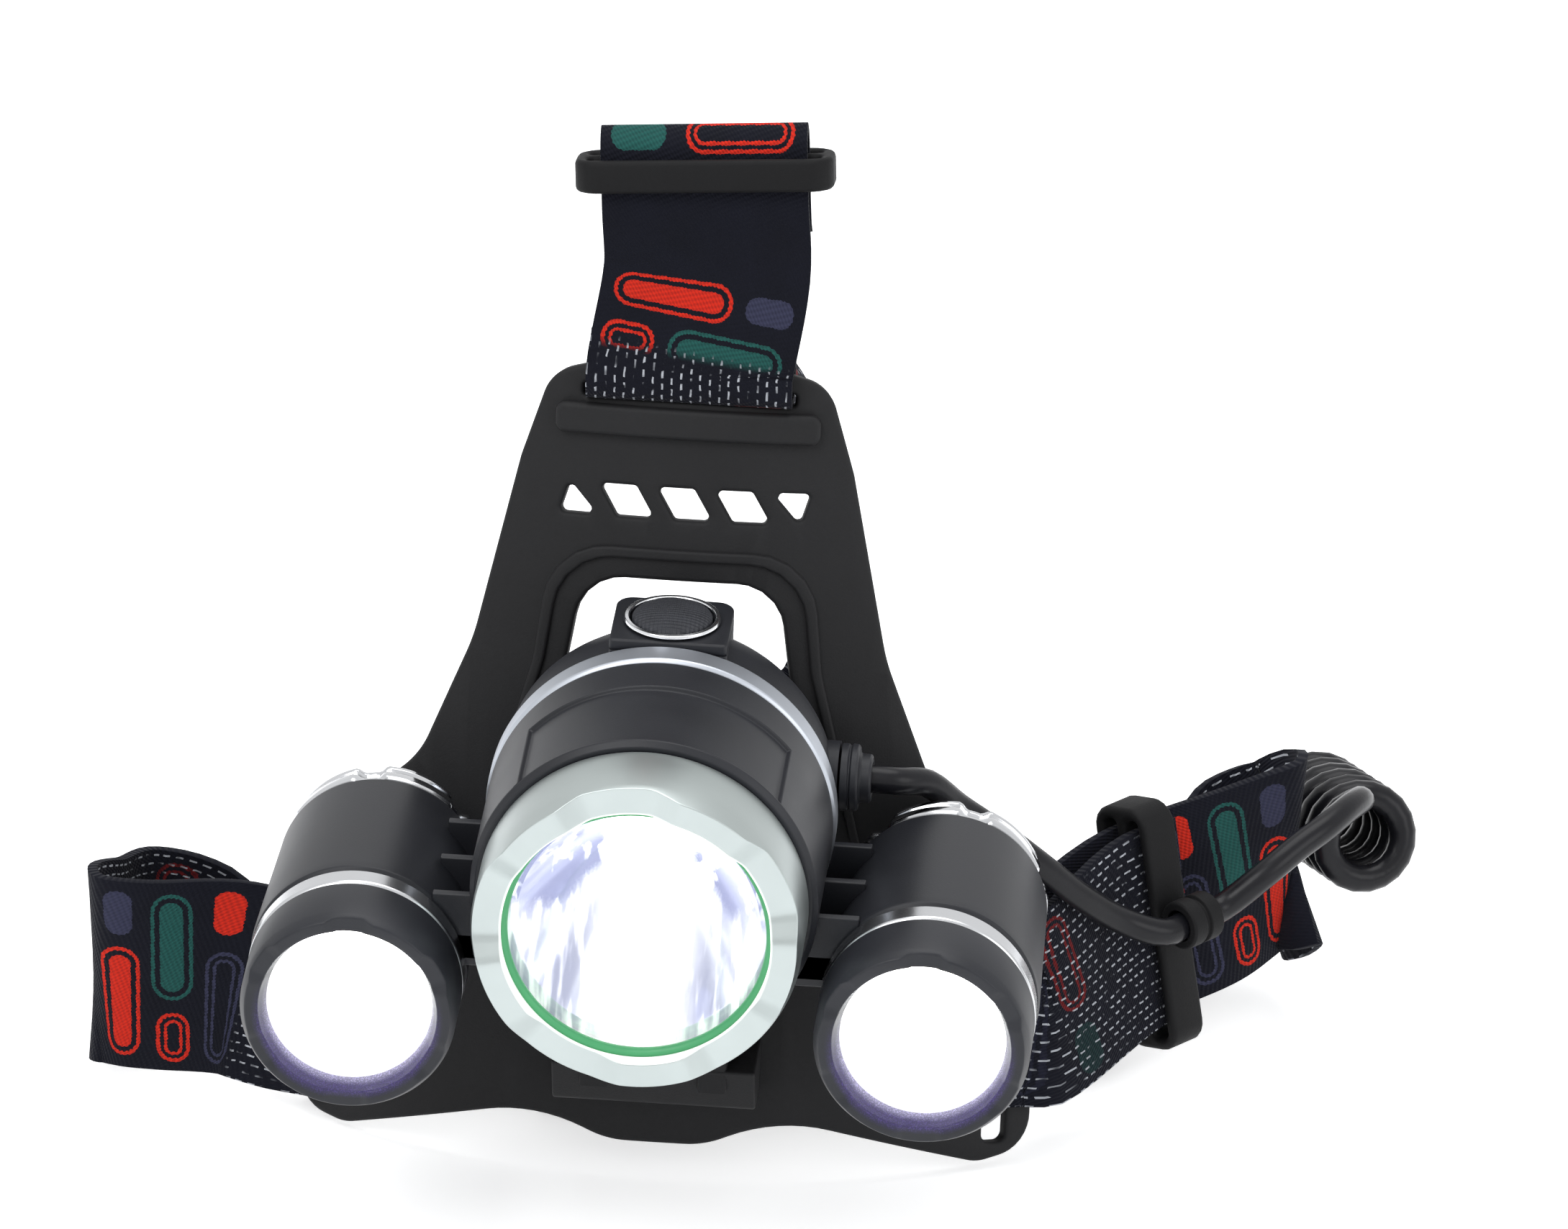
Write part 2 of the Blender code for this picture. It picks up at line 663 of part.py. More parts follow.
def build_rear_cap(pivot, start):
    end = start + CAP_LENGTH
    knee = end - CAP_LENGTH * 0.45
    outside = [
        (0, end),
        (CAP_BACK_RADIUS, end),
        (CAP_BACK_RADIUS + CAP_WALL, end - CAP_WALL / 2),
        (CAP_RADIUS - CAP_WALL / 4, knee),
        (CAP_RADIUS, start),
        (0, start),
    ]
    hollow = [
        (0, end - CAP_WALL),
        (CAP_BACK_RADIUS - CAP_WALL / 2, end - CAP_WALL),
        (CAP_RADIUS - CAP_WALL * 1.25, knee),
        (CAP_RADIUS - CAP_WALL, start),
        (CAP_RADIUS - CAP_WALL, start - CAP_WALL),
        (0, start - CAP_WALL),
    ]
    cap = add_part("rear_cap", turned("rear_cap", outside, LARGE_FACETS), "black_plastic", LAMP, pivot)
    top = CAP_RADIUS + BOSS_RISE
    half = BOSS_WIDTH / 2
    boss = fillet([
        (half, start, 0), (half, start + BOSS_LENGTH, BOSS_CORNER),
        (-half, start + BOSS_LENGTH, BOSS_CORNER), (-half, start, 0),
    ])
    join(cap, prism("button_boss", boss, "Z", CAP_RADIUS / 3, top))
    join(cap, prism("hinge_lug", lug_outline(start), "X", -LUG_WIDTH / 2, LUG_WIDTH / 2))
    gland = Vector((0, start + GLAND_SETBACK, GLAND_RISE))
    seat = gland + Vector((CAP_RADIUS + GAP, 0, 0))
    join(cap, rod("gland_seat", gland + Vector((CAP_RADIUS / 2, 0, 0)), seat, GLAND_FLANGE_RADIUS + GAP))
    cut(cap, turned("cap_hollow", hollow, LARGE_FACETS))

    middle = start + BOSS_LENGTH / 2
    flange = BUTTON_RADIUS + BUTTON_FLANGE_RIM
    below = (0, middle, CAP_RADIUS / 2)
    cut(cap, rod("button_pocket", below, (0, middle, top - BOSS_WALL), flange + GAP))
    cut(cap, rod("button_hole", below, (0, middle, top + BOSS_WALL), BUTTON_RADIUS + GAP))
    cut(cap, rod("lug_bore", (-LUG_WIDTH, HINGE_DEPTH, -HINGE_DROP), (LUG_WIDTH, HINGE_DEPTH, -HINGE_DROP),
                 PIN_RADIUS + GAP))
    cut(cap, rod("gland_bore", gland, seat * 2 - gland, CORD_RADIUS + GAP))
    add_gland("lamp_gland", frame((0, -1, 0), (1, 0, 0), LAMP @ (seat + Vector((GAP, 0, 0)))), pivot)
    build_button(pivot, middle, top)


def lug_outline(start):
    """The hinge lug in Y and Z: a tongue down from the rear cap to a round eye ahead of it."""
    front, back = HINGE_DEPTH - LUG_RADIUS, HINGE_DEPTH + LUG_RADIUS
    eye_top, eye_low = LUG_RADIUS - HINGE_DROP, -LUG_RADIUS - HINGE_DROP
    round_end = LUG_RADIUS * 0.96
    return fillet([
        (start, -CAP_RADIUS * 0.8, 0), (start + LUG_NECK, -CAP_RADIUS * 0.8, 0),
        (back, eye_low, round_end), (front, eye_low, round_end), (front, eye_top, round_end), (start, eye_top, 0),
    ], 6)


def build_button(pivot, middle, top):
    inner = BUTTON_RADIUS + GAP
    ring = turned("button_ring", [
        (inner + BUTTON_RING_WIDTH, BUTTON_RING_HEIGHT), (inner + BUTTON_RING_WIDTH, 0),
        (inner, 0), (inner, BUTTON_RING_HEIGHT),
    ])
    upright = Matrix.Rotation(math.pi / 2, 4, "X")
    add_part("button_ring", ring, "chrome", LAMP @ Matrix.Translation((0, middle, top + GAP)) @ upright, pivot)

    low = top - BOSS_WALL - GAP
    flange = BUTTON_RADIUS + BUTTON_FLANGE_RIM
    crown = BOSS_WALL + GAP
    dome = [
        (BUTTON_RADIUS * math.cos(a), crown + BUTTON_DOME * math.sin(a))
        for a in (math.pi / 12 * k for k in range(6))
    ]
    profile = [(0, -BUTTON_FLANGE), (flange, -BUTTON_FLANGE), (flange, 0), (BUTTON_RADIUS, 0)]
    button = turned("power_button", profile + dome + [(0, crown + BUTTON_DOME)], SMALL_FACETS)
    add_part("power_button", button, "button_rubber", LAMP @ Matrix.Translation((0, middle, low)) @ upright, pivot)

    stem_top = low - BUTTON_FLANGE - BUTTON_TRAVEL - GAP
    seat = stem_top - SWITCH_STEM - SWITCH_HEIGHT
    half = SWITCH_SIZE / 2
    body = box("tact_switch", (-half, middle - half, seat), (half, middle + half, seat + SWITCH_HEIGHT))
    switch = add_part("tact_switch", body, "steel", LAMP, pivot)
    join(switch, rod("switch_stem", (0, middle, seat + SWITCH_HEIGHT / 2), (0, middle, stem_top), half / 2))
    half = BOARD_WIDTH / 2
    board_top = seat - GAP
    front = middle - BOARD_LENGTH / 2
    board = box("switch_board", (-half, front, board_top - BOARD_THICKNESS), (half, front + BOARD_LENGTH, board_top))
    add_part("switch_board", board, "circuit_board", LAMP, pivot)


def add_gland(name, place, pivot=None):
    """A strain relief that stands along Y: a flange and a tapered boot with a bore for the cord."""
    bore = CORD_RADIUS + GAP
    end = GLAND_FLANGE + GLAND_LENGTH
    profile = [
        (bore, end), (bore + GLAND_FLANGE / 2, end), (bore + GLAND_FLANGE / 2, GLAND_FLANGE),
        (GLAND_FLANGE_RADIUS, GLAND_FLANGE), (GLAND_FLANGE_RADIUS, 0), (bore, 0),
    ]
    add_part(name, turned(name, profile, SMALL_FACETS), "black_plastic", place, pivot)


# Side lamps


def build_side_lamp(name, side, pivot):
    place = LAMP @ Matrix.Translation((side * SIDE_OFFSET, SIDE_SETBACK, -SIDE_DROP))
    bezel = add_part(
        name + "_bezel",
        turned(name + "_bezel", [
            (SIDE_BEZEL_RADIUS, SIDE_BEZEL_LENGTH),
            (SIDE_BEZEL_RADIUS, 2 * SIDE_CHAMFER),
            (SIDE_BEZEL_RADIUS - SIDE_CHAMFER, 0),
            (SIDE_OPENING + SIDE_CHAMFER, 0),
            (SIDE_OPENING, SIDE_CHAMFER / 2),
            (SIDE_THROAT, SIDE_LIP),
            (SIDE_BORE, SIDE_LIP),
            (SIDE_BORE, SIDE_BEZEL_LENGTH),
        ]),
        "black_plastic", place, pivot,
    )
    notch = notch_mesh(SIDE_NOTCH_WIDTH, SIDE_NOTCH_DEPTH, SIDE_NOTCH_SLOPE, SIDE_BEZEL_RADIUS)
    cut(bezel, ring_of(name + "_notches", notch, SIDE_NOTCHES, 0))

    fit = SIDE_BORE - GAP
    depth = SIDE_LIP + GAP
    add_part(name + "_lens", disc(name + "_lens", fit, depth, SIDE_LENS_THICKNESS, GAP), "glass", place, pivot)
    depth += SIDE_LENS_THICKNESS + GAP
    neck_start = depth + REFLECTOR_FLANGE + GAP
    mouth = fit - SIDE_NECK_WALL - GAP - REFLECTOR_WALL
    add_reflector(
        name + "_reflector", place, pivot, depth, fit, mouth, SIDE_LED_DOME + SIDE_FLANGE, SIDE_REFLECTOR_DEPTH,
    )
    depth += SIDE_REFLECTOR_DEPTH + GAP
    add_led(name + "_led", place, pivot, depth, SIDE_LED_RADIUS, SIDE_LED_DOME)
    seat = depth + LED_BOARD_THICKNESS + GAP

    start = SIDE_BEZEL_LENGTH + GAP
    edge = TRIM_LENGTH / 8
    add_part(
        name + "_trim_ring",
        turned(name + "_trim_ring", [
            (SIDE_BORE, start + TRIM_LENGTH),
            (TRIM_RADIUS - edge, start + TRIM_LENGTH),
            (TRIM_RADIUS, start + TRIM_LENGTH - edge),
            (TRIM_RADIUS, start + edge),
            (TRIM_RADIUS - edge, start),
            (SIDE_BORE, start),
        ]),
        "silver_aluminium", place, pivot,
    )
    start += TRIM_LENGTH + GAP
    end = start + BARREL_LENGTH
    rear_bore = BARREL_REAR_RADIUS - BARREL_WALL
    barrel = add_part(
        name + "_barrel",
        turned(name + "_barrel", [
            (BARREL_REAR_RADIUS, end),
            (BARREL_FRONT_RADIUS, start + BARREL_WALL),
            (BARREL_FRONT_RADIUS - SIDE_NECK_WALL, start),
            (fit, start),
            (fit, neck_start),
            (fit - SIDE_NECK_WALL, neck_start),
            (fit - SIDE_NECK_WALL, seat),
            (0, seat),
            (0, seat + BULKHEAD),
            (rear_bore, seat + BULKHEAD),
            (rear_bore, end),
        ]),
        "black_plastic", place, pivot,
    )
    join_web(barrel, side, start)

    start = end + GAP
    radius = BARREL_REAR_RADIUS
    groove = SIDE_CAP_LENGTH / 6
    add_part(
        name + "_rear_cap",
        turned(name + "_rear_cap", [
            (0, start + SIDE_CAP_LENGTH),
            (radius - 2 * groove, start + SIDE_CAP_LENGTH),
            (radius - groove, start + SIDE_CAP_LENGTH - groove),
            (radius - groove, start + 4 * groove),
            (radius - 2 * groove, start + 3.5 * groove),
            (radius - groove, start + 3 * groove),
            (radius, start + 2 * groove),
            (radius, start + groove / 2),
            (radius - groove / 2, start),
            (rear_bore - GAP, start),
            (rear_bore - GAP, start - SIDE_CAP_SPIGOT),
            (0, start - SIDE_CAP_SPIGOT),
        ]),
        "chrome", place, pivot,
    )


def join_web(barrel, side, start):
    """The ribbed bridge from a barrel to the main housing, hollowed from above by two pockets."""
    inner, outer = HOUSING_RADIUS * 0.7, SIDE_OFFSET - BARREL_FRONT_RADIUS / 2
    low, high = sorted((side * inner, side * outer))
    top = -WEB_DROP
    web = box(barrel.name + "_web", (low, start + SIDE_SETBACK, top - WEB_HEIGHT),
              (high, start + SIDE_SETBACK + WEB_LENGTH, top))
    join(barrel, web, LAMP)
    pitch = (WEB_LENGTH - WEB_RIB) / WEB_POCKETS
    for k in range(WEB_POCKETS):
        front = start + SIDE_SETBACK + WEB_RIB + k * pitch
        pocket = box(barrel.name + "_pocket", (low, front, WEB_FLOOR - WEB_HEIGHT - WEB_DROP),
                     (high, front + pitch - WEB_RIB, top + WEB_RIB))
        for vert in pocket.vertices:
            vert.co.x = math.copysign(min(abs(vert.co.x), SIDE_OFFSET - BARREL_FRONT_RADIUS), side)
        cut(barrel, pocket, LAMP)
    clear = HOUSING_RADIUS + SINK_OVERHANG + GAP
    end = (0, start + 2 * BARREL_LENGTH, 0)
    cut(barrel, rod(barrel.name + "_clearance", (0, 0, 0), end, clear, LARGE_FACETS), LAMP)
    axis = Vector((side * SIDE_OFFSET, 0, -SIDE_DROP))
    rear = BARREL_REAR_RADIUS - BARREL_WALL
    cut(barrel, rod(barrel.name + "_rear_bore", axis + Vector((0, start + SIDE_SETBACK + BULKHEAD + 6 * GAP, 0)),
                    axis + Vector(end), rear, FACETS), LAMP)


# Forehead plate and hinge


def on_plate(across, up, back):
    """A point of the plate from its flat coordinates, in the frame of the whole part."""
    turn = across / PLATE_BEND
    radius = PLATE_BEND - back
    depth = PLATE_BEND - radius * math.cos(turn)
    lean = Matrix.Rotation(-PLATE_LEAN, 3, "X")
    point = lean @ Vector((radius * math.sin(turn), depth, up))
    return LAMP @ (point + Vector((0, PLATE_DEPTH, 0)))


def bent(mesh):
    """Slices a flat sheet in strips and bends it to the forehead."""
    bm = bmesh.new()
    bm.from_mesh(mesh)
    strips = int(PLATE_WING / PLATE_SLICE) + 1
    for k in range(-strips, strips + 1):
        bmesh.ops.bisect_plane(
            bm, geom=[*bm.verts, *bm.edges, *bm.faces], plane_co=(k * PLATE_SLICE, 0, 0), plane_no=(1, 0, 0),
            dist=1e-6,
        )
    for vert in bm.verts:
        x, y, z = vert.co
        vert.co = on_plate(x, z, y)
    return finish_mesh(bm, mesh.name)


def plate_outline():
    waist = PLATE_WAIST
    return fillet(mirrored([
        (0, PLATE_TOP + PLATE_CROWN, 0),
        (STRAP_WIDTH / 2 - 2 * MM, PLATE_TOP + PLATE_CROWN, 2 * MM),
        (PLATE_TOP_HALF, PLATE_TOP, 6 * MM),
        (waist - 8 * MM, 42 * MM, 12 * MM),
        (waist - 2 * MM, 15 * MM, 30 * MM),
        (waist + 5.5 * MM, -3 * MM, 14 * MM),
        (PLATE_WING, PLATE_WING_TOP, 6 * MM),
        (PLATE_WING, PLATE_FOOT + 2 * MM, 6 * MM),
        (PLATE_WING - 8 * MM, PLATE_FOOT, 6 * MM),
        (17.5 * MM, PLATE_FOOT + 6 * MM, 20 * MM),
        (0, PLATE_FOOT + 3 * MM, 0),
    ]))


def opening_outline(grow=0.0):
    """The opening behind the main lamp, or the same outline grown by a margin."""
    return fillet(mirrored([
        (0, OPENING_TOP + grow, 0),
        (OPENING_HALF - 1 * MM + grow, OPENING_TOP + grow, 7 * MM + grow / 2),
        (OPENING_HALF + 1 * MM + grow, 13 * MM, 12 * MM),
        (OPENING_LOW_HALF + grow, OPENING_BOTTOM - grow, 8 * MM),
        (0, OPENING_BOTTOM - grow, 0),
    ]))


def slat_outlines():
    """Slanting slats, with a triangle at each end of the row."""
    half, lean = SLAT_WIDTH / 2, SLAT_SLANT / 2
    slats = [[
        (-half - lean, SLAT_TOP), (half - lean, SLAT_TOP), (half + lean, SLAT_BOTTOM), (lean - half, SLAT_BOTTOM),
    ]]
    slats = [[(x + k * SLAT_PITCH, z) for x, z in slats[0]] for k in (-1, 0, 1)]
    end = 2 * SLAT_PITCH
    slats.append([(end - 3 * lean, SLAT_TOP), (end + lean, SLAT_TOP), (end, SLAT_BOTTOM)])
    slats.append([(3 * lean - end, SLAT_BOTTOM), (-end - lean, SLAT_BOTTOM), (-end, SLAT_TOP)])
    return [fillet([(x, z, SLAT_CORNER) for x, z in slat], 2) for slat in slats]


def build_plate():
    half = STRAP_WIDTH / 2 + SLOT_MARGIN
    low, high = TOP_SLOT - TOP_SLOT_WIDTH / 2, TOP_SLOT + TOP_SLOT_WIDTH / 2
    slots = [rectangle((-half, low), (half, high), TOP_SLOT_WIDTH / 3)]
    half = WING_SLOT_LENGTH / 2
    for side in (-1, 1):
        slots.append(rectangle(
            (side * WING_SLOT - SLOT_WIDTH / 2, WING_SLOT_MIDDLE - half),
            (side * WING_SLOT + SLOT_WIDTH / 2, WING_SLOT_MIDDLE + half), SLOT_WIDTH / 3,
        ))
    holes = [opening_outline()] + slat_outlines() + slots
    plate = add_part(
        "forehead_plate", bent(sheet("forehead_plate", [plate_outline()] + holes, PLATE_THICKNESS)), "plate_rubber",
    )
    rim = sheet("plate_rim", [opening_outline(RIM_WIDTH), opening_outline(RIM_WIDTH - 1.6 * MM)], 2 * RIM_HEIGHT)
    rim.transform(Matrix.Translation((0, -RIM_HEIGHT, 0)))
    join(plate, bent(rim))
    bar_middle = TOP_SLOT - TOP_SLOT_WIDTH / 2 - BAR_HEIGHT / 2
    bar = sheet("slot_bar", [rectangle((-BAR_LENGTH / 2, bar_middle - BAR_HEIGHT / 2),
                                       (BAR_LENGTH / 2, bar_middle + BAR_HEIGHT / 2), BAR_HEIGHT / 3)], 2 * BAR_RISE)
    bar.transform(Matrix.Translation((0, -BAR_RISE, 0)))
    join(plate, bent(bar))
    join_hinge(plate)


def plate_middle(z):
    """The depth of the plate's middle layer at a height, on the centre line of the lamp frame."""
    return PLATE_DEPTH + z * math.tan(PLATE_LEAN) + PLATE_THICKNESS / 2 / math.cos(PLATE_LEAN)


def join_hinge(plate):
    """Two ears on the front of the plate with a foot below them, bored for the hinge pin."""
    ear_in = LUG_WIDTH / 2 + GAP
    ear_out = ear_in + EAR_WIDTH
    top, low = EAR_RADIUS - HINGE_DROP, -EAR_RADIUS - HINGE_DROP
    front = HINGE_DEPTH - EAR_RADIUS
    round_end = EAR_RADIUS * 0.95
    ear = fillet([
        (front, top, round_end), (plate_middle(top), top, 0), (plate_middle(low), low - FOOT_HEIGHT / 2, 0),
        (front, low - FOOT_HEIGHT / 2, 0),
    ], 6)
    for side in (-1, 1):
        near, far = sorted((side * ear_in, side * ear_out))
        join(plate, prism("hinge_ear", ear, "X", near, far), LAMP)
    foot_low = low - FOOT_HEIGHT
    foot = fillet([
        (front - GAP, low - GAP, 0), (plate_middle(low), low - GAP, 0), (plate_middle(foot_low), foot_low, 0),
        (front + FOOT_REACH / 2, foot_low, FOOT_REACH / 4),
    ])
    join(plate, prism("hinge_foot", foot, "X", -FOOT_WIDTH / 2, FOOT_WIDTH / 2), LAMP)
    ends = [Vector((side * FOOT_WIDTH, HINGE_DEPTH, -HINGE_DROP)) for side in (-1, 1)]
    cut(plate, rod("ear_bore", *ends, PIN_RADIUS + GAP), LAMP)
    build_pin(ear_out + GAP)


def build_pin(reach):
    """The hinge pin, with a head on the right and a nut on the left."""
    axis = frame((0, -1, 0), (1, 0, 0), in_lamp(0, 0, 0) + Vector((0, HINGE_DEPTH, -HINGE_DROP)))
    far = reach + PIN_HEAD_LENGTH
    profile = [
        (0, far), (PIN_HEAD_RADIUS, far), (PIN_HEAD_RADIUS, reach), (PIN_RADIUS, reach), (PIN_RADIUS, -far),
        (0, -far),
    ]
    add_part("hinge_pin", turned("hinge_pin", profile, SMALL_FACETS), "steel", axis)
    bore = PIN_RADIUS + GAP
    nut = [(PIN_HEAD_RADIUS, -reach), (PIN_HEAD_RADIUS, -far), (bore, -far), (bore, -reach)]
    add_part("hinge_nut", turned("hinge_nut", nut, 6), "steel", axis)


# Straps and adjusters


def round_bar(thickness):
    """Middle points of a strap round the near edge of a bar, as offsets along the bar and through it."""
    clear = STRAP_CLEARANCE + STRAP_THICKNESS / 2
    half = thickness / 2
    return [(0, -half - clear), (-clear, -half), (-clear, half), (0, half + clear)]


def wing_loop(side, middle):
    """Stations round the outer bar of a wing slot, from behind the plate to its front."""
    inner = WING_SLOT + SLOT_WIDTH / 2
    up = on_plate(side * WING_SLOT, 1, 0) - on_plate(side * WING_SLOT, 0, 0)
    turn = round_bar(PLATE_THICKNESS)[::-1]
    reach = PLATE_WING - inner
    turn = [(reach + 2 * MM, turn[0][1] + 5 * GAP), (reach, turn[0][1] + 2 * GAP)] + turn
    turn += [(reach / 2, turn[-1][1]), (reach + 2 * MM, turn[-1][1] - GAP)]
    return [
        (on_plate(side * (inner + across), middle, PLATE_THICKNESS / 2 + back), up) for across, back in turn
    ]


def case_loop(side):
    """Stations round the strap bar at an end of the battery case, from above it to below it."""
    slot = CASE_WIDTH / 2 + STRAP_CLEARANCE + SLOT_WIDTH
    middle = FLANGE_LOW + FLANGE_HEIGHT / 2
    turn = round_bar(FLANGE_HEIGHT)[::-1]
    turn = [(2 * FLANGE_BAR, turn[0][1])] + turn + [(2 * FLANGE_BAR, turn[-1][1])]
    return [(Vector((CASE_MIDDLE + side * (slot + x), 0, middle + z)), Vector((0, -1, 0))) for x, z in turn]


def lamp_stations(points):
    return [(in_lamp(*point), Vector(side)) for point, side in points]


def build_straps():
    strap("left_strap", wing_loop(-1, LEFT_STRAP_MIDDLE) + lamp_stations([
        ((-63, 62.2, -41.4), (0, 0.15, 0.99)),
        ((-74, 61.8, -41.6), (0, 0.05, 1)),
        ((-80.4, 62.9, -41.9), (-0.08, 0.05, 1)),
        ((-82.6, 66.5, -42.6), (-0.1, 0.15, 0.98)),
        ((-81.6, 72, -44), (0.2, 0.15, 0.97)),
        ((-78.5, 79, -46.8), (0.55, 0.1, 0.83)),
        ((-73.5, 85.5, -50), (0.7, -0.3, 0.62)),
        ((-66.5, 90.5, -52.6), (0.55, -0.78, 0.3)),
        ((-60, 93.4, -53.5), (0.2, -0.97, 0.06)),
    ]) + case_loop(-1))
    outer, inner = glide_lanes()
    strap("right_strap", outer + wing_loop(1, RIGHT_STRAP_MIDDLE)[::-1] + inner + lamp_stations([
        ((77, 94, -33.2), (-0.13, 0.11, 0.98)),
        ((82.6, 99.4, -32.2), (-0.08, 0.04, 1)),
        ((85.8, 103.2, -31.9), (-0.07, 0, 1)),
        ((86.4, 106, -32.2), (-0.07, 0, 1)),
        ((84.4, 108.4, -33.3), (-0.15, -0.18, 0.97)),
        ((80, 109.8, -36), (-0.25, -0.5, 0.83)),
        ((74.5, 110.4, -40.4), (-0.25, -0.72, 0.65)),
        ((68.6, 109.4, -45.4), (0, -0.86, 0.5)),
        ((62, 107, -50), (0.28, -0.9, 0.32)),
        ((55.8, 101.4, -52.4), (0.46, -0.88, 0.06)),
        ((51.4, 96.2, -53), (0.2, -0.98, 0)),
    ]) + case_loop(1))
    strap("top_strap", top_stations())


SIDE_GLIDE = in_lamp(67.4, 83, -34)
SIDE_RUN = Vector((0.65, 0.76, 0)).normalized()
SIDE_UP = Vector((0, 0, 1)) * math.cos(SIDE_LEAN) - Vector((SIDE_RUN.y, -SIDE_RUN.x, 0)) * math.sin(SIDE_LEAN)
SIDE_FACE = SIDE_RUN.cross(SIDE_UP)


def glide_lanes():
    """Stations where the outer and the inner layer of the right strap pass the side adjuster."""
    lane = SIDE_FACE * (GLIDE_BAR + GLIDE_SLOT) / 2
    run = SIDE_RUN * SIDE_GLIDE_HEIGHT * 0.8
    outer = [(SIDE_GLIDE + lane + run, SIDE_UP), (SIDE_GLIDE + lane - run, SIDE_UP)]
    inner = [(SIDE_GLIDE - lane - run, SIDE_UP), (SIDE_GLIDE - lane + run, SIDE_UP)]
    return outer, inner


def top_stations():
    """The top strap: sewn round the top bar, up through the adjuster, over its middle bar and down to the case."""
    reach = STRAP_CLEARANCE + STRAP_THICKNESS / 2
    inner = TOP_SLOT + TOP_SLOT_WIDTH / 2
    lane = GLIDE_BAR + GLIDE_SLOT
    rear = lane - reach
    across = Vector((1, 0, 0))
    rise = (on_plate(0, TOP_GLIDE, 0) - on_plate(0, 0, 0)).normalized()
    tilted = across * math.cos(TOP_GLIDE_TURN) + rise * math.sin(TOP_GLIDE_TURN)
    depth = PLATE_THICKNESS + STRAP_WIDTH**2 / 8 / PLATE_BEND
    turn = [(inner + up, depth / 2 + back) for up, back in round_bar(depth)[::-1]]
    top = PLATE_TOP + PLATE_CROWN
    lower = [(top + 4 * MM, depth + reach), (top, depth + reach), *turn, (top, -reach)]
    upper = [
        (TOP_GLIDE - 3 * GLIDE_HEIGHT, -reach),
        (TOP_GLIDE - GLIDE_HEIGHT, -reach),
        (TOP_GLIDE + TOP_FOLD, -reach),
        (TOP_GLIDE + TOP_FOLD + lane / 2, lane / 2 - reach),
        (TOP_GLIDE + TOP_FOLD, rear),
        (TOP_GLIDE - 1.2 * GLIDE_HEIGHT, rear),
    ]
    stations = [(on_plate(0, up, back), across) for up, back in lower]
    for up, back in upper:
        drift = TOP_GLIDE_SHIFT + (TOP_GLIDE - up) * math.tan(TOP_GLIDE_TURN)
        stations.append((on_plate(drift, up, back), tilted))
    hanging = lamp_stations([
        ((1.4, 81.4, 71), (0.98, 0.15, 0)),
        ((2.2, 85, 63.5), (0.65, 0.76, 0)),
        ((4.5, 89, 55), (0.1, 1, 0)),
        ((9.5, 90.5, 46), (-0.08, 1, 0)),
        ((14.6, 91, 38), (-0.08, 1, 0)),
        ((17.8, 90.5, 31), (-0.08, 1, 0)),
        ((19, 89, 23), (-0.08, 1, 0)),
        ((19, 85, 13.5), (0.25, 0.97, 0)),
        ((17.4, 76.5, 4), (0.75, 0.66, 0)),
        ((12, 71.6, -5), (0.95, 0.3, 0)),
        ((4.5, 68.8, -15), (1, 0.1, 0)),
        ((-1.5, 68.6, -25), (1, 0, 0)),
        ((-4, 69.4, -34), (1, 0, 0)),
    ])
    slot = CASE_LENGTH / 2 + STRAP_CLEARANCE + SLOT_WIDTH
    middle = FLANGE_LOW + FLANGE_HEIGHT / 2
    lift = FLANGE_HEIGHT / 2 + reach
    bar = slot + FLANGE_BAR
    half = FLANGE_HEIGHT / 2
    ends = [(slot - reach, 4 * lift), (slot - reach, -half), (slot, -lift), (bar, -lift), (bar + reach, -half),
            (bar + reach, 3 * lift)]
    return stations + hanging + [(Vector((CASE_MIDDLE, -y, middle + z)), across) for y, z in ends]


def glide_mesh(name, height):
    """A strap adjuster with two slots, its bars along X and the straps passing along Y."""
    slot_half = STRAP_WIDTH / 2 + SLOT_MARGIN
    half = slot_half + GLIDE_END
    depth = 3 * GLIDE_BAR + 2 * GLIDE_SLOT
    outlines = [rectangle((-half, -depth / 2), (half, depth / 2), GLIDE_BAR)]
    for low in (-GLIDE_BAR / 2 - GLIDE_SLOT, GLIDE_BAR / 2):
        outlines.append(rectangle((-slot_half, low), (slot_half, low + GLIDE_SLOT), GLIDE_SLOT / 4))
    mesh = sheet(name, outlines, height)
    mesh.transform(Matrix.Translation((0, -height / 2, 0)))
    return mesh


def build_adjusters():
    lane = (GLIDE_BAR + GLIDE_SLOT) / 2
    middle = on_plate(TOP_GLIDE_SHIFT, TOP_GLIDE, lane - STRAP_CLEARANCE - STRAP_THICKNESS / 2)
    rise = on_plate(0, TOP_GLIDE, 0) - on_plate(0, 0, 0)
    turn = Matrix.Rotation(TOP_GLIDE_TURN, 4, "Z")
    mesh = glide_mesh("top_adjuster", GLIDE_HEIGHT)
    add_part("top_adjuster", mesh, "black_plastic", frame((1, 0, 0), rise, middle) @ turn)
    mesh = glide_mesh("side_adjuster", SIDE_GLIDE_HEIGHT)
    add_part("side_adjuster", mesh, "black_plastic", frame(SIDE_UP, SIDE_RUN, SIDE_GLIDE))
    outer = CORD_RADIUS + GAP + CLIP_WALL
    bore = CORD_RADIUS + GAP
    angles = [math.radians(40 + 280 * k / 14) for k in range(15)]
    outline = [(outer * math.sin(a), outer * math.cos(a)) for a in angles]
    outline += [(bore * math.sin(a), bore * math.cos(a)) for a in reversed(angles)]
    clip = prism("cord_clip", outline, "Y", -CLIP_LENGTH / 2, CLIP_LENGTH / 2)
    centre = clip_centre()
    add_part("cord_clip", clip, "black_plastic", frame(SIDE_FACE.cross(SIDE_RUN), SIDE_RUN, centre))


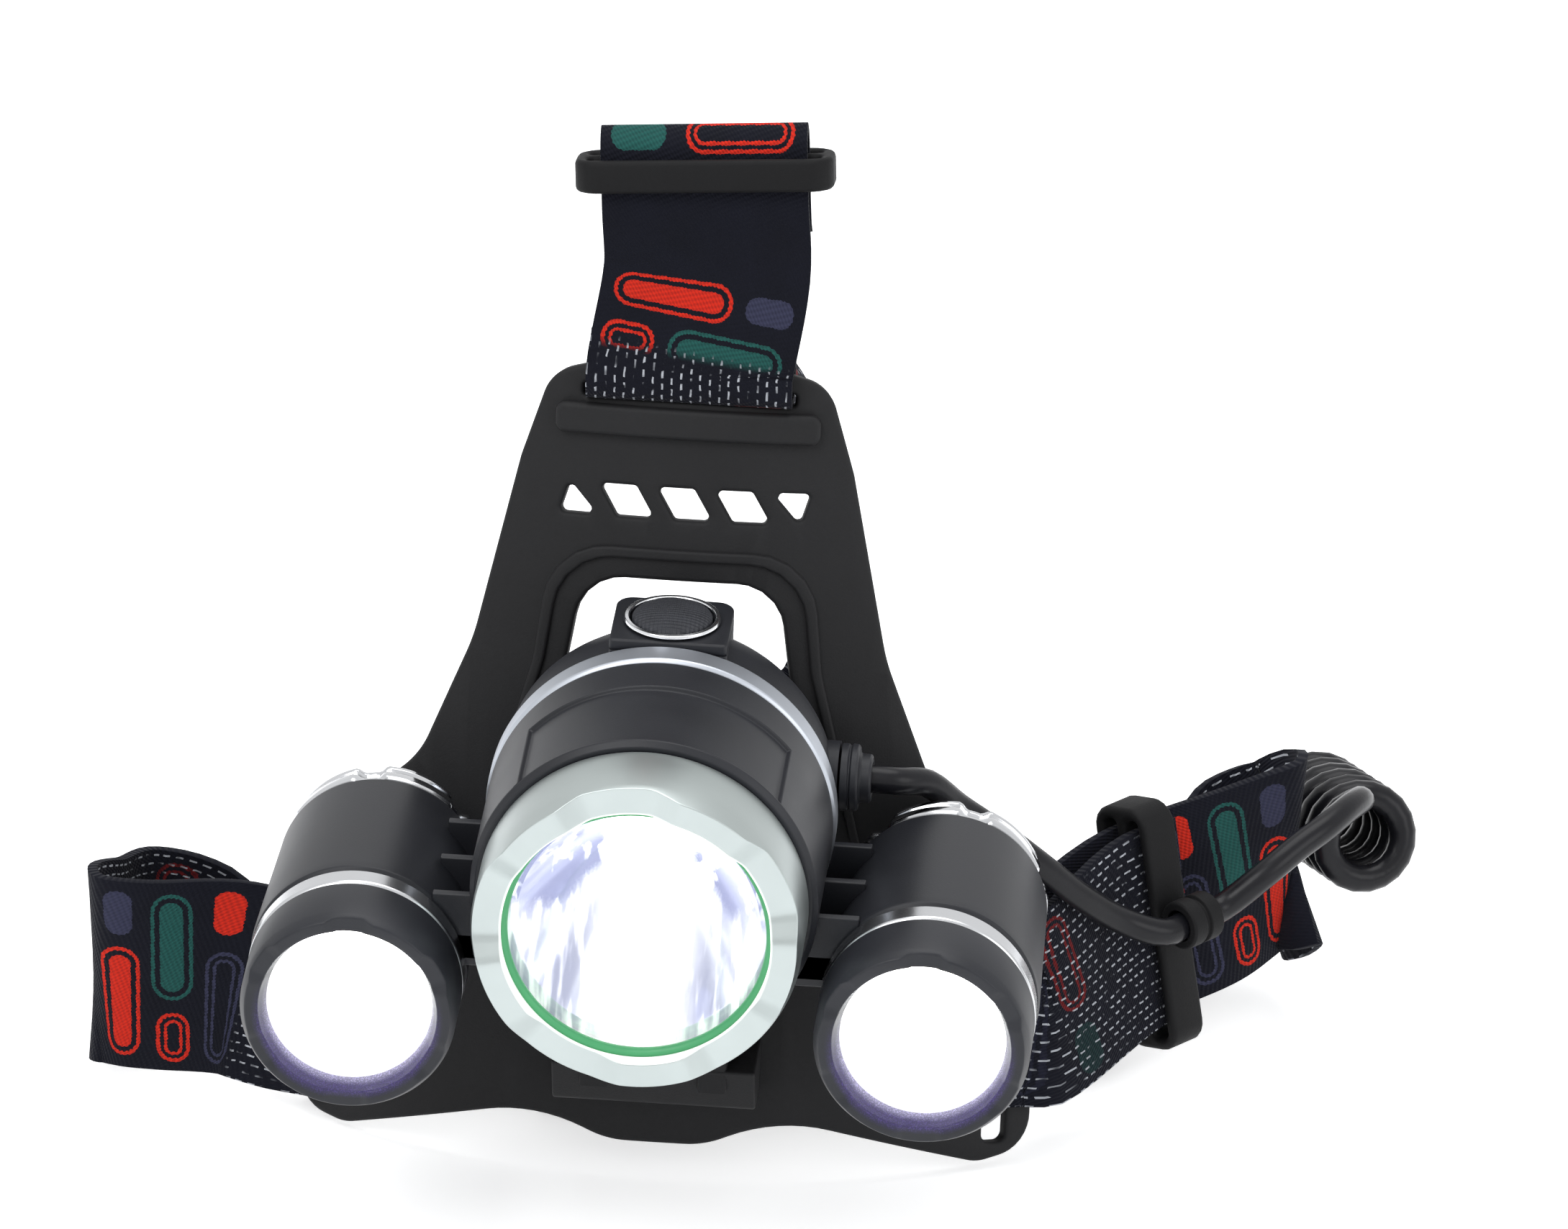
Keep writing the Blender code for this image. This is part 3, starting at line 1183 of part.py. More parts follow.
def clip_centre():
    depth = 3 * GLIDE_BAR + 2 * GLIDE_SLOT
    reach = depth / 2 + GAP + CLIP_WALL + GAP + CORD_RADIUS
    return SIDE_GLIDE + SIDE_FACE * reach + SIDE_UP * 1.5 * MM


# Power cord


def gland_mouth():
    start = BEZEL_LENGTH + HOUSING_LENGTH + SINK_LENGTH + 3 * GAP
    return LAMP @ Vector((CAP_RADIUS + 2 * GAP, start + GLAND_SETBACK, GLAND_RISE))


def case_gland_mouth():
    return Vector((CASE_MIDDLE + CASE_WIDTH / 2 - CASE_GLAND_INSET, CASE_LENGTH / 2 + GAP, CASE_HEIGHT / 2))


def build_cord():
    clip = clip_centre()
    mouth = gland_mouth()
    inside = Vector((GLAND_FLANGE, 0, 0))
    out = Vector((GLAND_FLANGE + GLAND_LENGTH, 0, 0))
    bend = [in_lamp(*p) for p in (
        (32.6, 51, 2.1), (36.6, 54.4, 0.4), (41, 58.2, -5), (46.4, 60.8, -10), (52, 63, -15.4), (58, 66.5, -22),
        (64, 70.6, -27.6),
    )]
    front = [mouth + inside, mouth + out] + bend + [clip - SIDE_RUN * 6 * MM, clip - SIDE_RUN * GAP]
    tube("cord_front", smooth_path(front, 3), CORD_RADIUS, "cord_jacket", CORD_FACETS)

    along = Vector((-0.31, 0.9, -0.27)).normalized()
    right = along.cross(Vector((0, 0, 1))).normalized()
    over = right.cross(along)
    near = in_lamp(97.4, 108, -31.1)
    coil = []
    for k in range(COIL_LOOPS * CURL_POINTS + 1):
        turns = k / CURL_POINTS
        angle = 2 * math.pi * turns + math.radians(110)
        arm = right * math.cos(angle) + over * math.sin(angle)
        coil.append(near + along * COIL_PITCH * turns + COIL_RADIUS * arm)
    lead = [clip + SIDE_RUN * GAP, clip + SIDE_RUN * 6 * MM]
    lead += [in_lamp(*p) for p in (
        (83.5, 84.5, -26), (88, 88.5, -23.2), (91.8, 92.5, -21.6), (94.6, 97.5, -21), (96.2, 103, -22.2),
    )]
    mouth = case_gland_mouth()
    tail = [in_lamp(*p) for p in (
        (78.5, 138.5, -38), (72.5, 139.5, -44), (66.5, 139, -51.5), (58.5, 137, -56.8), (48, 133.5, -57.8),
        (40, 131, -56.5),
    )]
    end = GLAND_FLANGE + GLAND_LENGTH
    tail += [mouth + Vector((6 * MM, end + 9 * MM, -5 * MM)), mouth + Vector((1 * MM, end + 4 * MM, -0.5 * MM)),
             mouth + Vector((0, end, 0)), mouth + Vector((0, (end + GLAND_FLANGE) / 2, 0)),
             mouth + Vector((0, GLAND_FLANGE, 0))]
    path = smooth_path(lead + coil[:1], 2) + coil[1:-1] + smooth_path(coil[-1:] + tail, 2)
    tube("cord_curly", path, CORD_RADIUS, "cord_jacket", CORD_FACETS)
    print("least gap between curls: %.2f mm" % (least_gap(coil, CURL_POINTS, CORD_RADIUS) / MM))


# Battery case


def case_outline(shrink=0.0):
    half, back = CASE_WIDTH / 2 - shrink, CASE_LENGTH / 2 - shrink
    return rectangle((CASE_MIDDLE - half, -back), (CASE_MIDDLE + half, back), CASE_CORNER - shrink)


def strap_bars():
    """Outlines of the strap bars at three sides of the case, each with its slot."""
    reach = STRAP_CLEARANCE + SLOT_WIDTH + FLANGE_BAR
    half, front = CASE_WIDTH / 2, -CASE_LENGTH / 2
    slot_half = STRAP_WIDTH / 2 + SLOT_MARGIN
    arm = slot_half + FLANGE_BAR
    inset = CASE_WALL / 2
    sides = []
    for side in (-1, 1):
        near, far = sorted((CASE_MIDDLE + side * (half - inset), CASE_MIDDLE + side * (half + reach)))
        slot = sorted((CASE_MIDDLE + side * (half + STRAP_CLEARANCE),
                       CASE_MIDDLE + side * (half + STRAP_CLEARANCE + SLOT_WIDTH)))
        sides.append((rectangle((near, -arm), (far, arm)),
                      rectangle((slot[0], -slot_half), (slot[1], slot_half))))
    slot_half = STRAP_WIDTH / 2 + SLOT_MARGIN
    arm = slot_half + FLANGE_BAR
    near, far = CASE_MIDDLE - arm, CASE_MIDDLE + arm
    sides.append((
        rectangle((near, front - reach), (far, front + inset)),
        rectangle((CASE_MIDDLE - slot_half, front - STRAP_CLEARANCE - SLOT_WIDTH),
                  (CASE_MIDDLE + slot_half, front - STRAP_CLEARANCE)),
    ))
    return sides


def build_case():
    case = add_part("battery_case", prism("battery_case", case_outline(), "Z", 0, CASE_HEIGHT), "black_plastic")
    for bar, slot in strap_bars():
        join(case, prism("strap_bar", bar, "Z", FLANGE_LOW, FLANGE_LOW + FLANGE_HEIGHT))
        cut(case, prism("strap_slot", slot, "Z", 0, FLANGE_LOW + 2 * FLANGE_HEIGHT))
    hinge = Vector((CASE_MIDDLE, CASE_LENGTH / 2 + KNUCKLE_RADIUS + GAP, CASE_HEIGHT + GAP / 2))
    for side in (-1, 1):
        near = side * (KNUCKLE_OFFSET + KNUCKLE_LENGTH + GAP)
        join(case, knuckle("case_knuckle", hinge, near, near + side * KNUCKLE_LENGTH, -1))
    cut(case, prism("case_hollow", case_outline(CASE_WALL), "Z", CASE_WALL, 2 * CASE_HEIGHT))
    axis = Vector((2 * CASE_WIDTH, 0, 0))
    cut(case, rod("case_pin_bore", hinge - axis, hinge + axis, COVER_PIN_RADIUS + GAP))
    mouth = case_gland_mouth()
    cut(case, rod("case_cord_bore", mouth - Vector((0, 2 * CASE_WALL, 0)), mouth, CORD_RADIUS + GAP))
    add_gland("case_gland", frame((1, 0, 0), (0, 1, 0), mouth))

    cover_low = CASE_HEIGHT + GAP
    pivot = add_empty("cover_hinge", hinge)
    cover_top = cover_low + COVER_HEIGHT
    cover = add_part("battery_cover", prism("battery_cover", case_outline(), "Z", cover_low, cover_top),
                     "black_plastic", parent=pivot)
    for side in (-1, 1):
        near = side * KNUCKLE_OFFSET
        join(cover, knuckle("cover_knuckle", hinge, near, near + side * KNUCKLE_LENGTH, 1), Matrix())
    front = -CASE_LENGTH / 2
    tab_end = CASE_MIDDLE + CASE_WIDTH / 2 - CASE_GLAND_INSET
    tab = box("cover_tab", (tab_end - TAB_WIDTH, front - TAB_REACH, cover_low + COVER_HEIGHT / 3),
              (tab_end, front + CASE_WALL, cover_low + COVER_HEIGHT * 0.7))
    join(cover, tab, Matrix())
    cut(cover, prism("cover_hollow", case_outline(CASE_WALL), "Z", 0, cover_top - CASE_WALL), Matrix())
    cut(cover, rod("cover_pin_bore", hinge - axis, hinge + axis, COVER_PIN_RADIUS + GAP), Matrix())
    reach = Vector((KNUCKLE_OFFSET + 2 * KNUCKLE_LENGTH + 2 * GAP, 0, 0))
    add_part("cover_pin", rod("cover_pin", hinge - reach, hinge + reach, COVER_PIN_RADIUS), "steel")
    build_cells()


def knuckle(name, hinge, near, far, side):
    """A hinge knuckle with a web to the wall of the case or the cover."""
    near, far = sorted((near, far))
    wall = -KNUCKLE_RADIUS - GAP - CASE_WALL / 2
    top = side * KNUCKLE_RADIUS
    angles = [math.pi / 8 * k for k in range(9)]
    outline = [(KNUCKLE_RADIUS * math.sin(a), -top * math.cos(a)) for a in angles]
    web = [(wall, top), (wall, side * (GAP + KNUCKLE_RADIUS / 4)), (-KNUCKLE_RADIUS, side * KNUCKLE_RADIUS / 4)]
    mesh = prism(name, outline + web, "X", near, far)
    mesh.transform(Matrix.Translation(hinge))
    return mesh


def build_cells():
    inside = CASE_WIDTH / 2 - CASE_WALL
    height = CASE_WALL + GAP + CELL_RADIUS
    plate_half = CELL_RADIUS * 0.6
    for name, side in (("front", -1), ("rear", 1)):
        y = side * (CELL_RADIUS + 2 * GAP)
        right = CASE_MIDDLE + inside - GAP
        tip = right - CONTACT_THICKNESS - GAP
        add_contact(name + "_tip_contact", right - CONTACT_THICKNESS, y, height, plate_half)
        shoulder = CELL_LENGTH - CELL_BUTTON
        profile = [
            (0, CELL_LENGTH), (CELL_RADIUS / 3, CELL_LENGTH), (CELL_RADIUS / 3, shoulder),
            (CELL_RADIUS - GAP, shoulder), (CELL_RADIUS, shoulder - GAP), (CELL_RADIUS, GAP),
            (CELL_RADIUS - GAP, 0), (0, 0),
        ]
        place = frame((0, -1, 0), (1, 0, 0), (tip - CELL_LENGTH, y, height))
        add_part(name + "_cell", turned(name + "_cell", profile, SMALL_FACETS), "cell_wrap", place)
        left = CASE_MIDDLE - inside + GAP
        add_contact(name + "_spring_contact", left, y, height, plate_half)
        start = left + CONTACT_THICKNESS + GAP + SPRING_WIRE
        length = tip - CELL_LENGTH - GAP - SPRING_WIRE - start
        turns = [k / SPRING_POINTS for k in range(SPRING_LOOPS * SPRING_POINTS + 1)]
        coil = [
            (start + length * t / SPRING_LOOPS, y + SPRING_RADIUS * math.cos(2 * math.pi * t),
             height + SPRING_RADIUS * math.sin(2 * math.pi * t)) for t in turns
        ]
        tube(name + "_spring", coil, SPRING_WIRE, "steel", WIRE_FACETS)
        gap = least_gap([Vector(point) for point in coil], SPRING_POINTS, SPRING_WIRE)
        print("least gap between the turns of %s_spring: %.2f mm" % (name, gap / MM))


def add_contact(name, x, y, z, half):
    mesh = box(name, (x, y - half, z - half), (x + CONTACT_THICKNESS, y + half, z + half))
    add_part(name, mesh, "steel")


def main():
    clear_scene()
    make_materials()
    pivot = add_empty("lamp_tilt", in_lamp(0, 0, 0) + Vector((0, HINGE_DEPTH, -HINGE_DROP)))
    build_main_lamp(pivot)
    build_side_lamp("left_lamp", -1, pivot)
    build_side_lamp("right_lamp", 1, pivot)
    build_plate()
    build_straps()
    build_adjusters()
    build_cord()
    build_case()


main()
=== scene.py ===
"""Finished pieces, materials and studio for a three-lamp headlamp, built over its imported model."""

import json
import math
from functools import partialmethod

import bmesh
import bpy
from bpy.props import FloatProperty, FloatVectorProperty, IntProperty, PointerProperty
from mathutils import Matrix, Vector


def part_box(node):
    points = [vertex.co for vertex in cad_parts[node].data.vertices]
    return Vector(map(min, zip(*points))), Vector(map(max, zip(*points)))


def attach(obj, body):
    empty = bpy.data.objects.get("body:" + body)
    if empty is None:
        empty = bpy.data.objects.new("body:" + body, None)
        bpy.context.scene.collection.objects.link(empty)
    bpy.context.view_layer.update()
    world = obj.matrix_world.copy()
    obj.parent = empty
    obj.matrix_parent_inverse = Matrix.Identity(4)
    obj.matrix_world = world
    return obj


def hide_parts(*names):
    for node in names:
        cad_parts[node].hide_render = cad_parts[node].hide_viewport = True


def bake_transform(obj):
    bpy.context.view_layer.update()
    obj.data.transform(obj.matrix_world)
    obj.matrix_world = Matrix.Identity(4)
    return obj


bl_info = {
    "name": "Headlamp Finish",
    "version": (1, 0, 0),
    "blender": (4, 5, 0),
    "location": "3D View > Sidebar > Headlamp",
    "description": "Builds the finished pieces of a three-lamp headlamp over its packed model",
    "category": "Object",
}

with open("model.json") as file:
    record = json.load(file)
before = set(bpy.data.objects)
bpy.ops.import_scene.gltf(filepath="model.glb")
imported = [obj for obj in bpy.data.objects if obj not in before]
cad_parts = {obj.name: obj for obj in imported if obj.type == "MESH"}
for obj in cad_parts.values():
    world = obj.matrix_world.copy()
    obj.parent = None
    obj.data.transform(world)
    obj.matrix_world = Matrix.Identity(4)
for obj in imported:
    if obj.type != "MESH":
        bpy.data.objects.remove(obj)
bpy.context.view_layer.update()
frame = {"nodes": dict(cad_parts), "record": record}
RECORD = frame["record"]
BODY_OF = {node: body for body, nodes in RECORD["behaviour"]["bodies"].items() for node in nodes}
MM = 0.001
BLACK = (0.0, 0.0, 0.0)


def front_of(node):
    """The middle of a node's front."""
    low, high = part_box(node)
    middle = (low + high) / 2
    return Vector((middle.x, low.y, middle.z))


LAMP = front_of("main_bezel")
LAMP.x = 0
SIDE_LAMPS = {name: front_of(name + "_bezel") for name in ("left_lamp", "right_lamp")}


# Settings


def length(name, description, default):
    return FloatProperty(name=name, description=description, default=default, min=0.0,
                         subtype="DISTANCE", unit="LENGTH")


def angle(name, description, degrees):
    return FloatProperty(name=name, description=description, default=math.radians(degrees),
                         subtype="ANGLE", unit="ROTATION")


def colour(name, description, default):
    return FloatVectorProperty(name=name, description=description, default=default, size=3,
                               min=0.0, max=1.0, subtype="COLOR")


class HeadlampLampSettings(bpy.types.PropertyGroup):
    """Sizes and colours of the lamps and the plate"""

    round_steps: IntProperty(name="Round Steps", description="Facets round a turned piece",
                             default=180, min=36)
    edge: length("Edge", "Rounding of the sharp edges of turned pieces", 0.25 * MM)
    plate_edge: length("Plate Edge", "Rounding of the edges of the rubber plate", 0.6 * MM)
    lobe_depth: length("Lobe Depth", "Depth of the valleys in the main bezel", 1.8 * MM)
    side_lobe_depth: length("Side Lobe Depth", "Depth of the valleys in a side bezel", 0.7 * MM)
    silver: colour("Silver", "Anodised main bezel", (0.43, 0.475, 0.47))
    grey: colour("Grey", "Heat sink ring", (0.50, 0.53, 0.58))
    chrome: colour("Chrome", "Plated rings and caps", (0.60, 0.61, 0.63))
    black: colour("Black", "Moulded housings", (0.016, 0.017, 0.021))
    rubber: colour("Rubber", "Plate and adjusters", (0.013, 0.013, 0.014))
    glow: colour("Glow", "Light of the emitters", (1.0, 0.99, 0.97))
    fringe: colour("Fringe", "Tint of the light on the side bezels", (0.060, 0.036, 0.19))
    seal: colour("Seal", "Lens seal of the main lamp", (0.055, 0.30, 0.12))


class HeadlampStrapSettings(bpy.types.PropertyGroup):
    """Sizes and colours of the straps and the cord"""

    width: length("Width", "Width of the webbing", 29.2 * MM)
    thickness: length("Thickness", "Thickness of the webbing", 1.4 * MM)
    cord_radius: length("Cord Radius", "Radius of the power cord", 2.0 * MM)
    ground: colour("Ground", "Ground of the webbing", (0.006, 0.0065, 0.011))
    red: colour("Red", "Red yarn of the print", (0.72, 0.030, 0.014))
    teal: colour("Teal", "Teal yarn of the print", (0.020, 0.105, 0.092))
    slate: colour("Slate", "Blue-grey yarn of the print", (0.045, 0.047, 0.088))
    thread: colour("Thread", "White stitches", (0.46, 0.48, 0.52))
    jacket: colour("Jacket", "Jacket of the cord", (0.007, 0.007, 0.009))


class HeadlampStageSettings(bpy.types.PropertyGroup):
    """Camera and studio"""

    azimuth: angle("Azimuth", "Camera turn to the right of the lamps", 4.6)
    elevation: angle("Elevation", "Camera height above the horizon", 27)
    roll: angle("Roll", "Turn of the picture", 1.5)
    distance: length("Distance", "Camera distance from the main lens", 2.5)
    floor: colour("Floor", "Floor and background", (1.0, 1.0, 1.0))


# Shader maths


class Value:
    """A socket of a finish. Arithmetic on it adds Math nodes."""

    def __init__(self, finish, socket):
        self.finish = finish
        self.socket = socket

    def math(self, operation, *others):
        sockets = dict(enumerate((self, *others)))
        return self.finish.node("Math", {"operation": operation}, sockets)

    __add__ = __radd__ = partialmethod(math, "ADD")
    __sub__ = partialmethod(math, "SUBTRACT")
    __mul__ = __rmul__ = partialmethod(math, "MULTIPLY")
    __truediv__ = partialmethod(math, "DIVIDE")
    __mod__ = partialmethod(math, "FLOORED_MODULO")
    __abs__ = partialmethod(math, "ABSOLUTE")
    __lt__ = partialmethod(math, "LESS_THAN")
    root = partialmethod(math, "SQRT")
    sine = partialmethod(math, "SINE")
    floor = partialmethod(math, "FLOOR")
    most = partialmethod(math, "MAXIMUM")
    least = partialmethod(math, "MINIMUM")
    near = partialmethod(math, "COMPARE")

    def __rsub__(self, other):
        return self.finish.node("Math", {"operation": "SUBTRACT"}, {0: other, 1: self})

    def ramp(self, low, high):
        """0 below low, 1 above high and a smooth rise between them."""
        sockets = {"Value": self, "From Min": low, "From Max": high}
        return self.finish.node("MapRange", {"interpolation_type": "SMOOTHSTEP"}, sockets)


class Finish:
    """A procedural material under construction."""

    def __init__(self, name, fixed):
        self.material = bpy.data.materials.new(name)
        self.material.use_nodes = True
        self.tree = self.material.node_tree
        self.shader = self.tree.nodes["Principled BSDF"]
        for socket, value in fixed.items():
            self.set(socket, value)

    def feed(self, socket, value):
        if isinstance(value, Value):
            self.tree.links.new(value.socket, socket)
        elif socket.type == "RGBA":
            socket.default_value = (*value, 1.0)
        else:
            socket.default_value = value

    def set(self, socket, value):
        self.feed(self.shader.inputs[socket], value)

    def node(self, kind, settings, sockets, output=0):
        node = self.tree.nodes.new("ShaderNode" + kind)
        for key, value in settings.items():
            setattr(node, key, value)
        for key, value in sockets.items():
            self.feed(node.inputs[key], value)
        return Value(self, node.outputs[output])

    def mix(self, factor, first, second):
        return self.node("Mix", {"data_type": "RGBA"}, {0: factor, 6: first, 7: second}, 2)

    def place(self):
        return self.node("TexCoord", {}, {}, "Object")

    def axes(self, vector):
        split = self.node("SeparateXYZ", {}, {0: vector}).socket.node
        return [Value(self, split.outputs[k]) for k in range(3)]

    def noise(self, where, scale, detail=2.0):
        return self.node("TexNoise", {}, {"Vector": where, "Scale": scale, "Detail": detail})

    def streaks(self, scale, detail=2.0):
        """Noise stretched by its own scale along each axis."""
        where = self.node("Mapping", {}, {"Vector": self.place(), "Scale": scale})
        return self.noise(where, 1.0, detail)

    def bump(self, height, distance):
        self.set("Normal", self.node("Bump", {}, {"Height": height, "Distance": distance}))


def shade(tone, factor):
    return tuple(min(1.0, part * factor) for part in tone)


# Finishes

MOULD_GRAIN = (5200.0, 1.0)
MIRROR_DEPTH = 6.2 * MM
SILVERED = (0.9, 0.9, 0.92)
# Mirror base colours and glows in the painted shade streaks and in the painted dark reflections
SHADE_STREAK_BASE = (0.36, 0.37, 0.42)
SHADE_STREAK_GLOW = (0.36, 0.37, 0.43)
DARK_REFLECTION_BASE = (0.13, 0.14, 0.22)
DARK_REFLECTION_GLOW = (0.15, 0.16, 0.28)


def clouded(name, tone, shades, cloud, fixed):
    """A finish with a tone in soft patches, and the patches; a cloud is a scale and a detail."""
    finish = Finish(name, fixed)
    patches = finish.noise(finish.place(), *cloud)
    dark, light = shades
    finish.set("Base Color", finish.mix(patches, shade(tone, dark), shade(tone, light)))
    return finish, patches


def moulded_black(name, tone, roughness, grain=0.012 * MM):
    """Fine-grained moulded plastic, a little duller in patches."""
    finish, cloud = clouded(name, tone, (0.75, 1.35), (90.0,), {"Specular IOR Level": 0.3})
    grains = finish.noise(finish.place(), *MOULD_GRAIN)
    finish.set("Roughness", roughness + cloud * 0.10 + grains * 0.06)
    finish.bump(grains, grain)
    return finish.material


def moulded_rubber(name, tone, gloss=0.22):
    """Dull rubber with a sandy skin."""
    finish, cloud = clouded(name, tone, (0.7, 1.5), (55.0, 3.0), {"Specular IOR Level": gloss})
    sand = finish.noise(finish.place(), 3300.0)
    finish.set("Roughness", 0.50 + cloud * 0.14 + sand * 0.08)
    finish.bump(sand, 0.03 * MM)
    return finish.material


def lathed_metal(name, tone, roughness, lines):
    """Metal under construction, with fine turning lines along its length."""
    finish, cloud = clouded(name, tone, (0.88, 1.08), (70.0, 3.0), {"Metallic": 1.0})
    turning = finish.streaks((60.0, 9000.0, 60.0))
    finish.set("Roughness", roughness + turning * 0.10 + cloud * 0.05)
    if lines:
        finish.bump(turning, lines)
    return finish


def satin_metal(name, tone, roughness, lines=0.0):
    return lathed_metal(name, tone, roughness, lines).material


def lit_silver(name, tone, axis, mouth):
    """Satin metal whose inner wall carries the light of the lens."""
    finish = lathed_metal(name, tone, 0.30, 0.004 * MM)
    distance, _ = radius_about(finish, axis)
    # painted glow: the lens light on the inner wall of the bezel
    wall = 1 - distance.ramp(mouth, mouth + 0.3 * MM)
    finish.set("Emission Strength", 0.7)
    finish.set("Emission Color", finish.mix(wall, BLACK, (1.0, 0.98, 0.93)))
    return finish.material


def ridged_chrome(name, tone, front, grooves):
    """Plated metal, rougher in its grooves and darkened there by painted shade; grooves are given as
    depths behind a front and half widths.
    """
    finish = Finish(name, {"Metallic": 1.0})
    where = finish.place()
    cloud = finish.noise(where, 120.0, 3.0)
    depth = finish.axes(where)[1] - front
    shaded_grooves = None
    for middle, half in grooves:
        groove = 1 - abs(depth - middle).ramp(half * 0.5, half)
        shaded_grooves = groove if shaded_grooves is None else shaded_grooves.most(groove)
    plated = finish.mix(cloud, shade(tone, 0.85), shade(tone, 1.12))
    # painted shade: the grooves darkened nearly to black
    finish.set("Base Color", finish.mix(shaded_grooves * 0.85, plated, shade(tone, 0.08)))
    finish.set("Roughness", 0.10 + cloud * 0.06 + shaded_grooves * 0.3)
    return finish.material


def glossy_jacket(name, tone):
    """Smooth cord jacket with faint smears."""
    finish, smear = clouded(name, tone, (0.8, 1.5), (240.0, 3.0), {"Specular IOR Level": 0.22})
    finish.set("Roughness", 0.22 + smear * 0.16)
    finish.bump(finish.noise(finish.place(), 1500.0, 1.0), 0.015 * MM)
    return finish.material


def clear_glass(name):
    fixed = {"Base Color": (0.98, 1.0, 1.0), "Transmission Weight": 1.0, "IOR": 1.42}
    finish = Finish(name, fixed)
    finish.set("Roughness", 0.015 + finish.noise(finish.place(), 300.0) * 0.02)
    return finish.material


def radius_about(finish, axis):
    """Distance from a lamp's axis, and height above it."""
    x, _, z = finish.axes(finish.place())
    across, up = x - axis.x, z - axis.z
    return (across * across + up * up).root(), up


def lit_mirror(name, axis, mouth, glow, painted_streaks=0.0):
    """A mirror bowl full of light, with painted shade streaks down both sides and painted dark
    reflections in patches high up.
    """
    finish = Finish(name, {"Metallic": 1.0, "Emission Strength": 1.1})
    x, y, z = finish.axes(finish.place())
    across = abs(x - axis.x)
    high = (z - axis.z) + (y - axis.y - MIRROR_DEPTH) * 0.5
    rim = (across * across + high * high).root().ramp(mouth * 0.50, mouth * 0.74)
    flank = across.ramp(mouth * 0.22, mouth * 0.44)
    upper = 0.22 + high.ramp(-2.0 * MM, 5.0 * MM) * 0.78
    streak = finish.streaks((360.0, 60.0, 150.0), 3.0)
    fleck = finish.noise(finish.place(), 2600.0)
    # painted dark reflections: patches near the rim, on the flanks and high up
    patches = streak.ramp(0.40, 0.50) * (0.9 + fleck * 0.4) * rim * flank * upper
    painted_dark_reflection = (patches * painted_streaks).least(1.0)
    # painted shade: greyer streaks down both flanks that dim the glow
    shade_streak_noise = finish.streaks((620.0, 70.0, 90.0))
    shade_streak_mask = shade_streak_noise.ramp(0.40, 0.56) * across.ramp(mouth * 0.26, mouth * 0.56)
    pale = (shade_streak_mask * painted_streaks * (1.15 - shade_streak_mask * 0.2)).least(1.0)
    silver = finish.mix(pale, SILVERED, SHADE_STREAK_BASE)
    light = finish.mix(pale, glow, SHADE_STREAK_GLOW)
    finish.set("Base Color", finish.mix(painted_dark_reflection, silver, DARK_REFLECTION_BASE))
    finish.set("Roughness", 0.06 + streak * 0.05)
    finish.set("Emission Color", finish.mix(painted_dark_reflection, light, DARK_REFLECTION_GLOW))
    return finish.material


def lit_emitter(name, glow):
    """A glowing dome on a pale board."""
    finish = Finish(name, {"Roughness": 0.35, "Emission Strength": 4.0})
    speck = finish.noise(finish.place(), 1800.0)
    finish.set("Base Color", finish.mix(speck, (0.92, 0.86, 0.55), (0.98, 0.95, 0.8)))
    finish.set("Emission Color", finish.mix(speck, shade(glow, 0.9), glow))
    return finish.material


def lit_seal(name, tone):
    """A translucent seal that carries the light of the lens."""
    # painted glow: the lens light showing through the seal
    fixed = {"Roughness": 0.45, "Emission Strength": 0.4}
    finish, cloud = clouded(name, tone, (0.8, 1.0), (160.0,), fixed)
    finish.set("Emission Color", finish.mix(cloud, shade(tone, 0.7), tone))
    return finish.material


def lit_bezel(name, tone, axis, opening, fringe):
    """Moulded black with the fringe of the light in the lower half of its mouth."""
    fixed = {"Specular IOR Level": 0.3, "Emission Strength": 1.0}
    finish, cloud = clouded(name, tone, (0.9, 1.6), (90.0,), fixed)
    grains = finish.noise(finish.place(), *MOULD_GRAIN)
    distance, up = radius_about(finish, axis)
    # painted glow: the lamp's light on the lower lip of the mouth, paler near the opening and
    # flecked with painted glints from the grain
    mouth = 1 - distance.ramp(opening - 0.3 * MM, opening + 1.1 * MM)
    near = 1 - distance.ramp(opening - 1.0 * MM, opening - 0.35 * MM)
    low = 1 - up.ramp(-7.0 * MM, 5.0 * MM)
    sparkle = 0.5 + grains.ramp(0.45, 0.75) * 0.9
    light = finish.mix(near, fringe, (0.62, 0.58, 0.88))
    finish.set("Roughness", 0.36 + cloud * 0.12)
    finish.set("Emission Color", finish.mix(mouth * low * sparkle, BLACK, light))
    finish.bump(grains, 0.012 * MM)
    return finish.material


def button_grip(name, tone):
    """Rubber with a fine diamond grip."""
    finish, cloud = clouded(name, tone, (1.0, 2.4), (300.0,), {"Specular IOR Level": 0.4})
    x, y, _ = finish.axes(finish.place())
    grip = ((x + y) * 5200.0).sine() * ((x - y) * 5200.0).sine()
    finish.set("Roughness", 0.5 + cloud * 0.2)
    finish.bump(grip, 0.12 * MM)
    return finish.material


def plain_finish(name, tone, roughness, metallic=0.0):
    """A small inner part: one tone with slight patches."""
    finish, cloud = clouded(name, tone, (0.8, 1.15), (400.0, 3.0), {"Metallic": metallic})
    finish.set("Roughness", roughness + cloud * 0.12)
    return finish.material


# Print of the webbing, in millimetres: yarn, middle, size and the depths filled, along and across

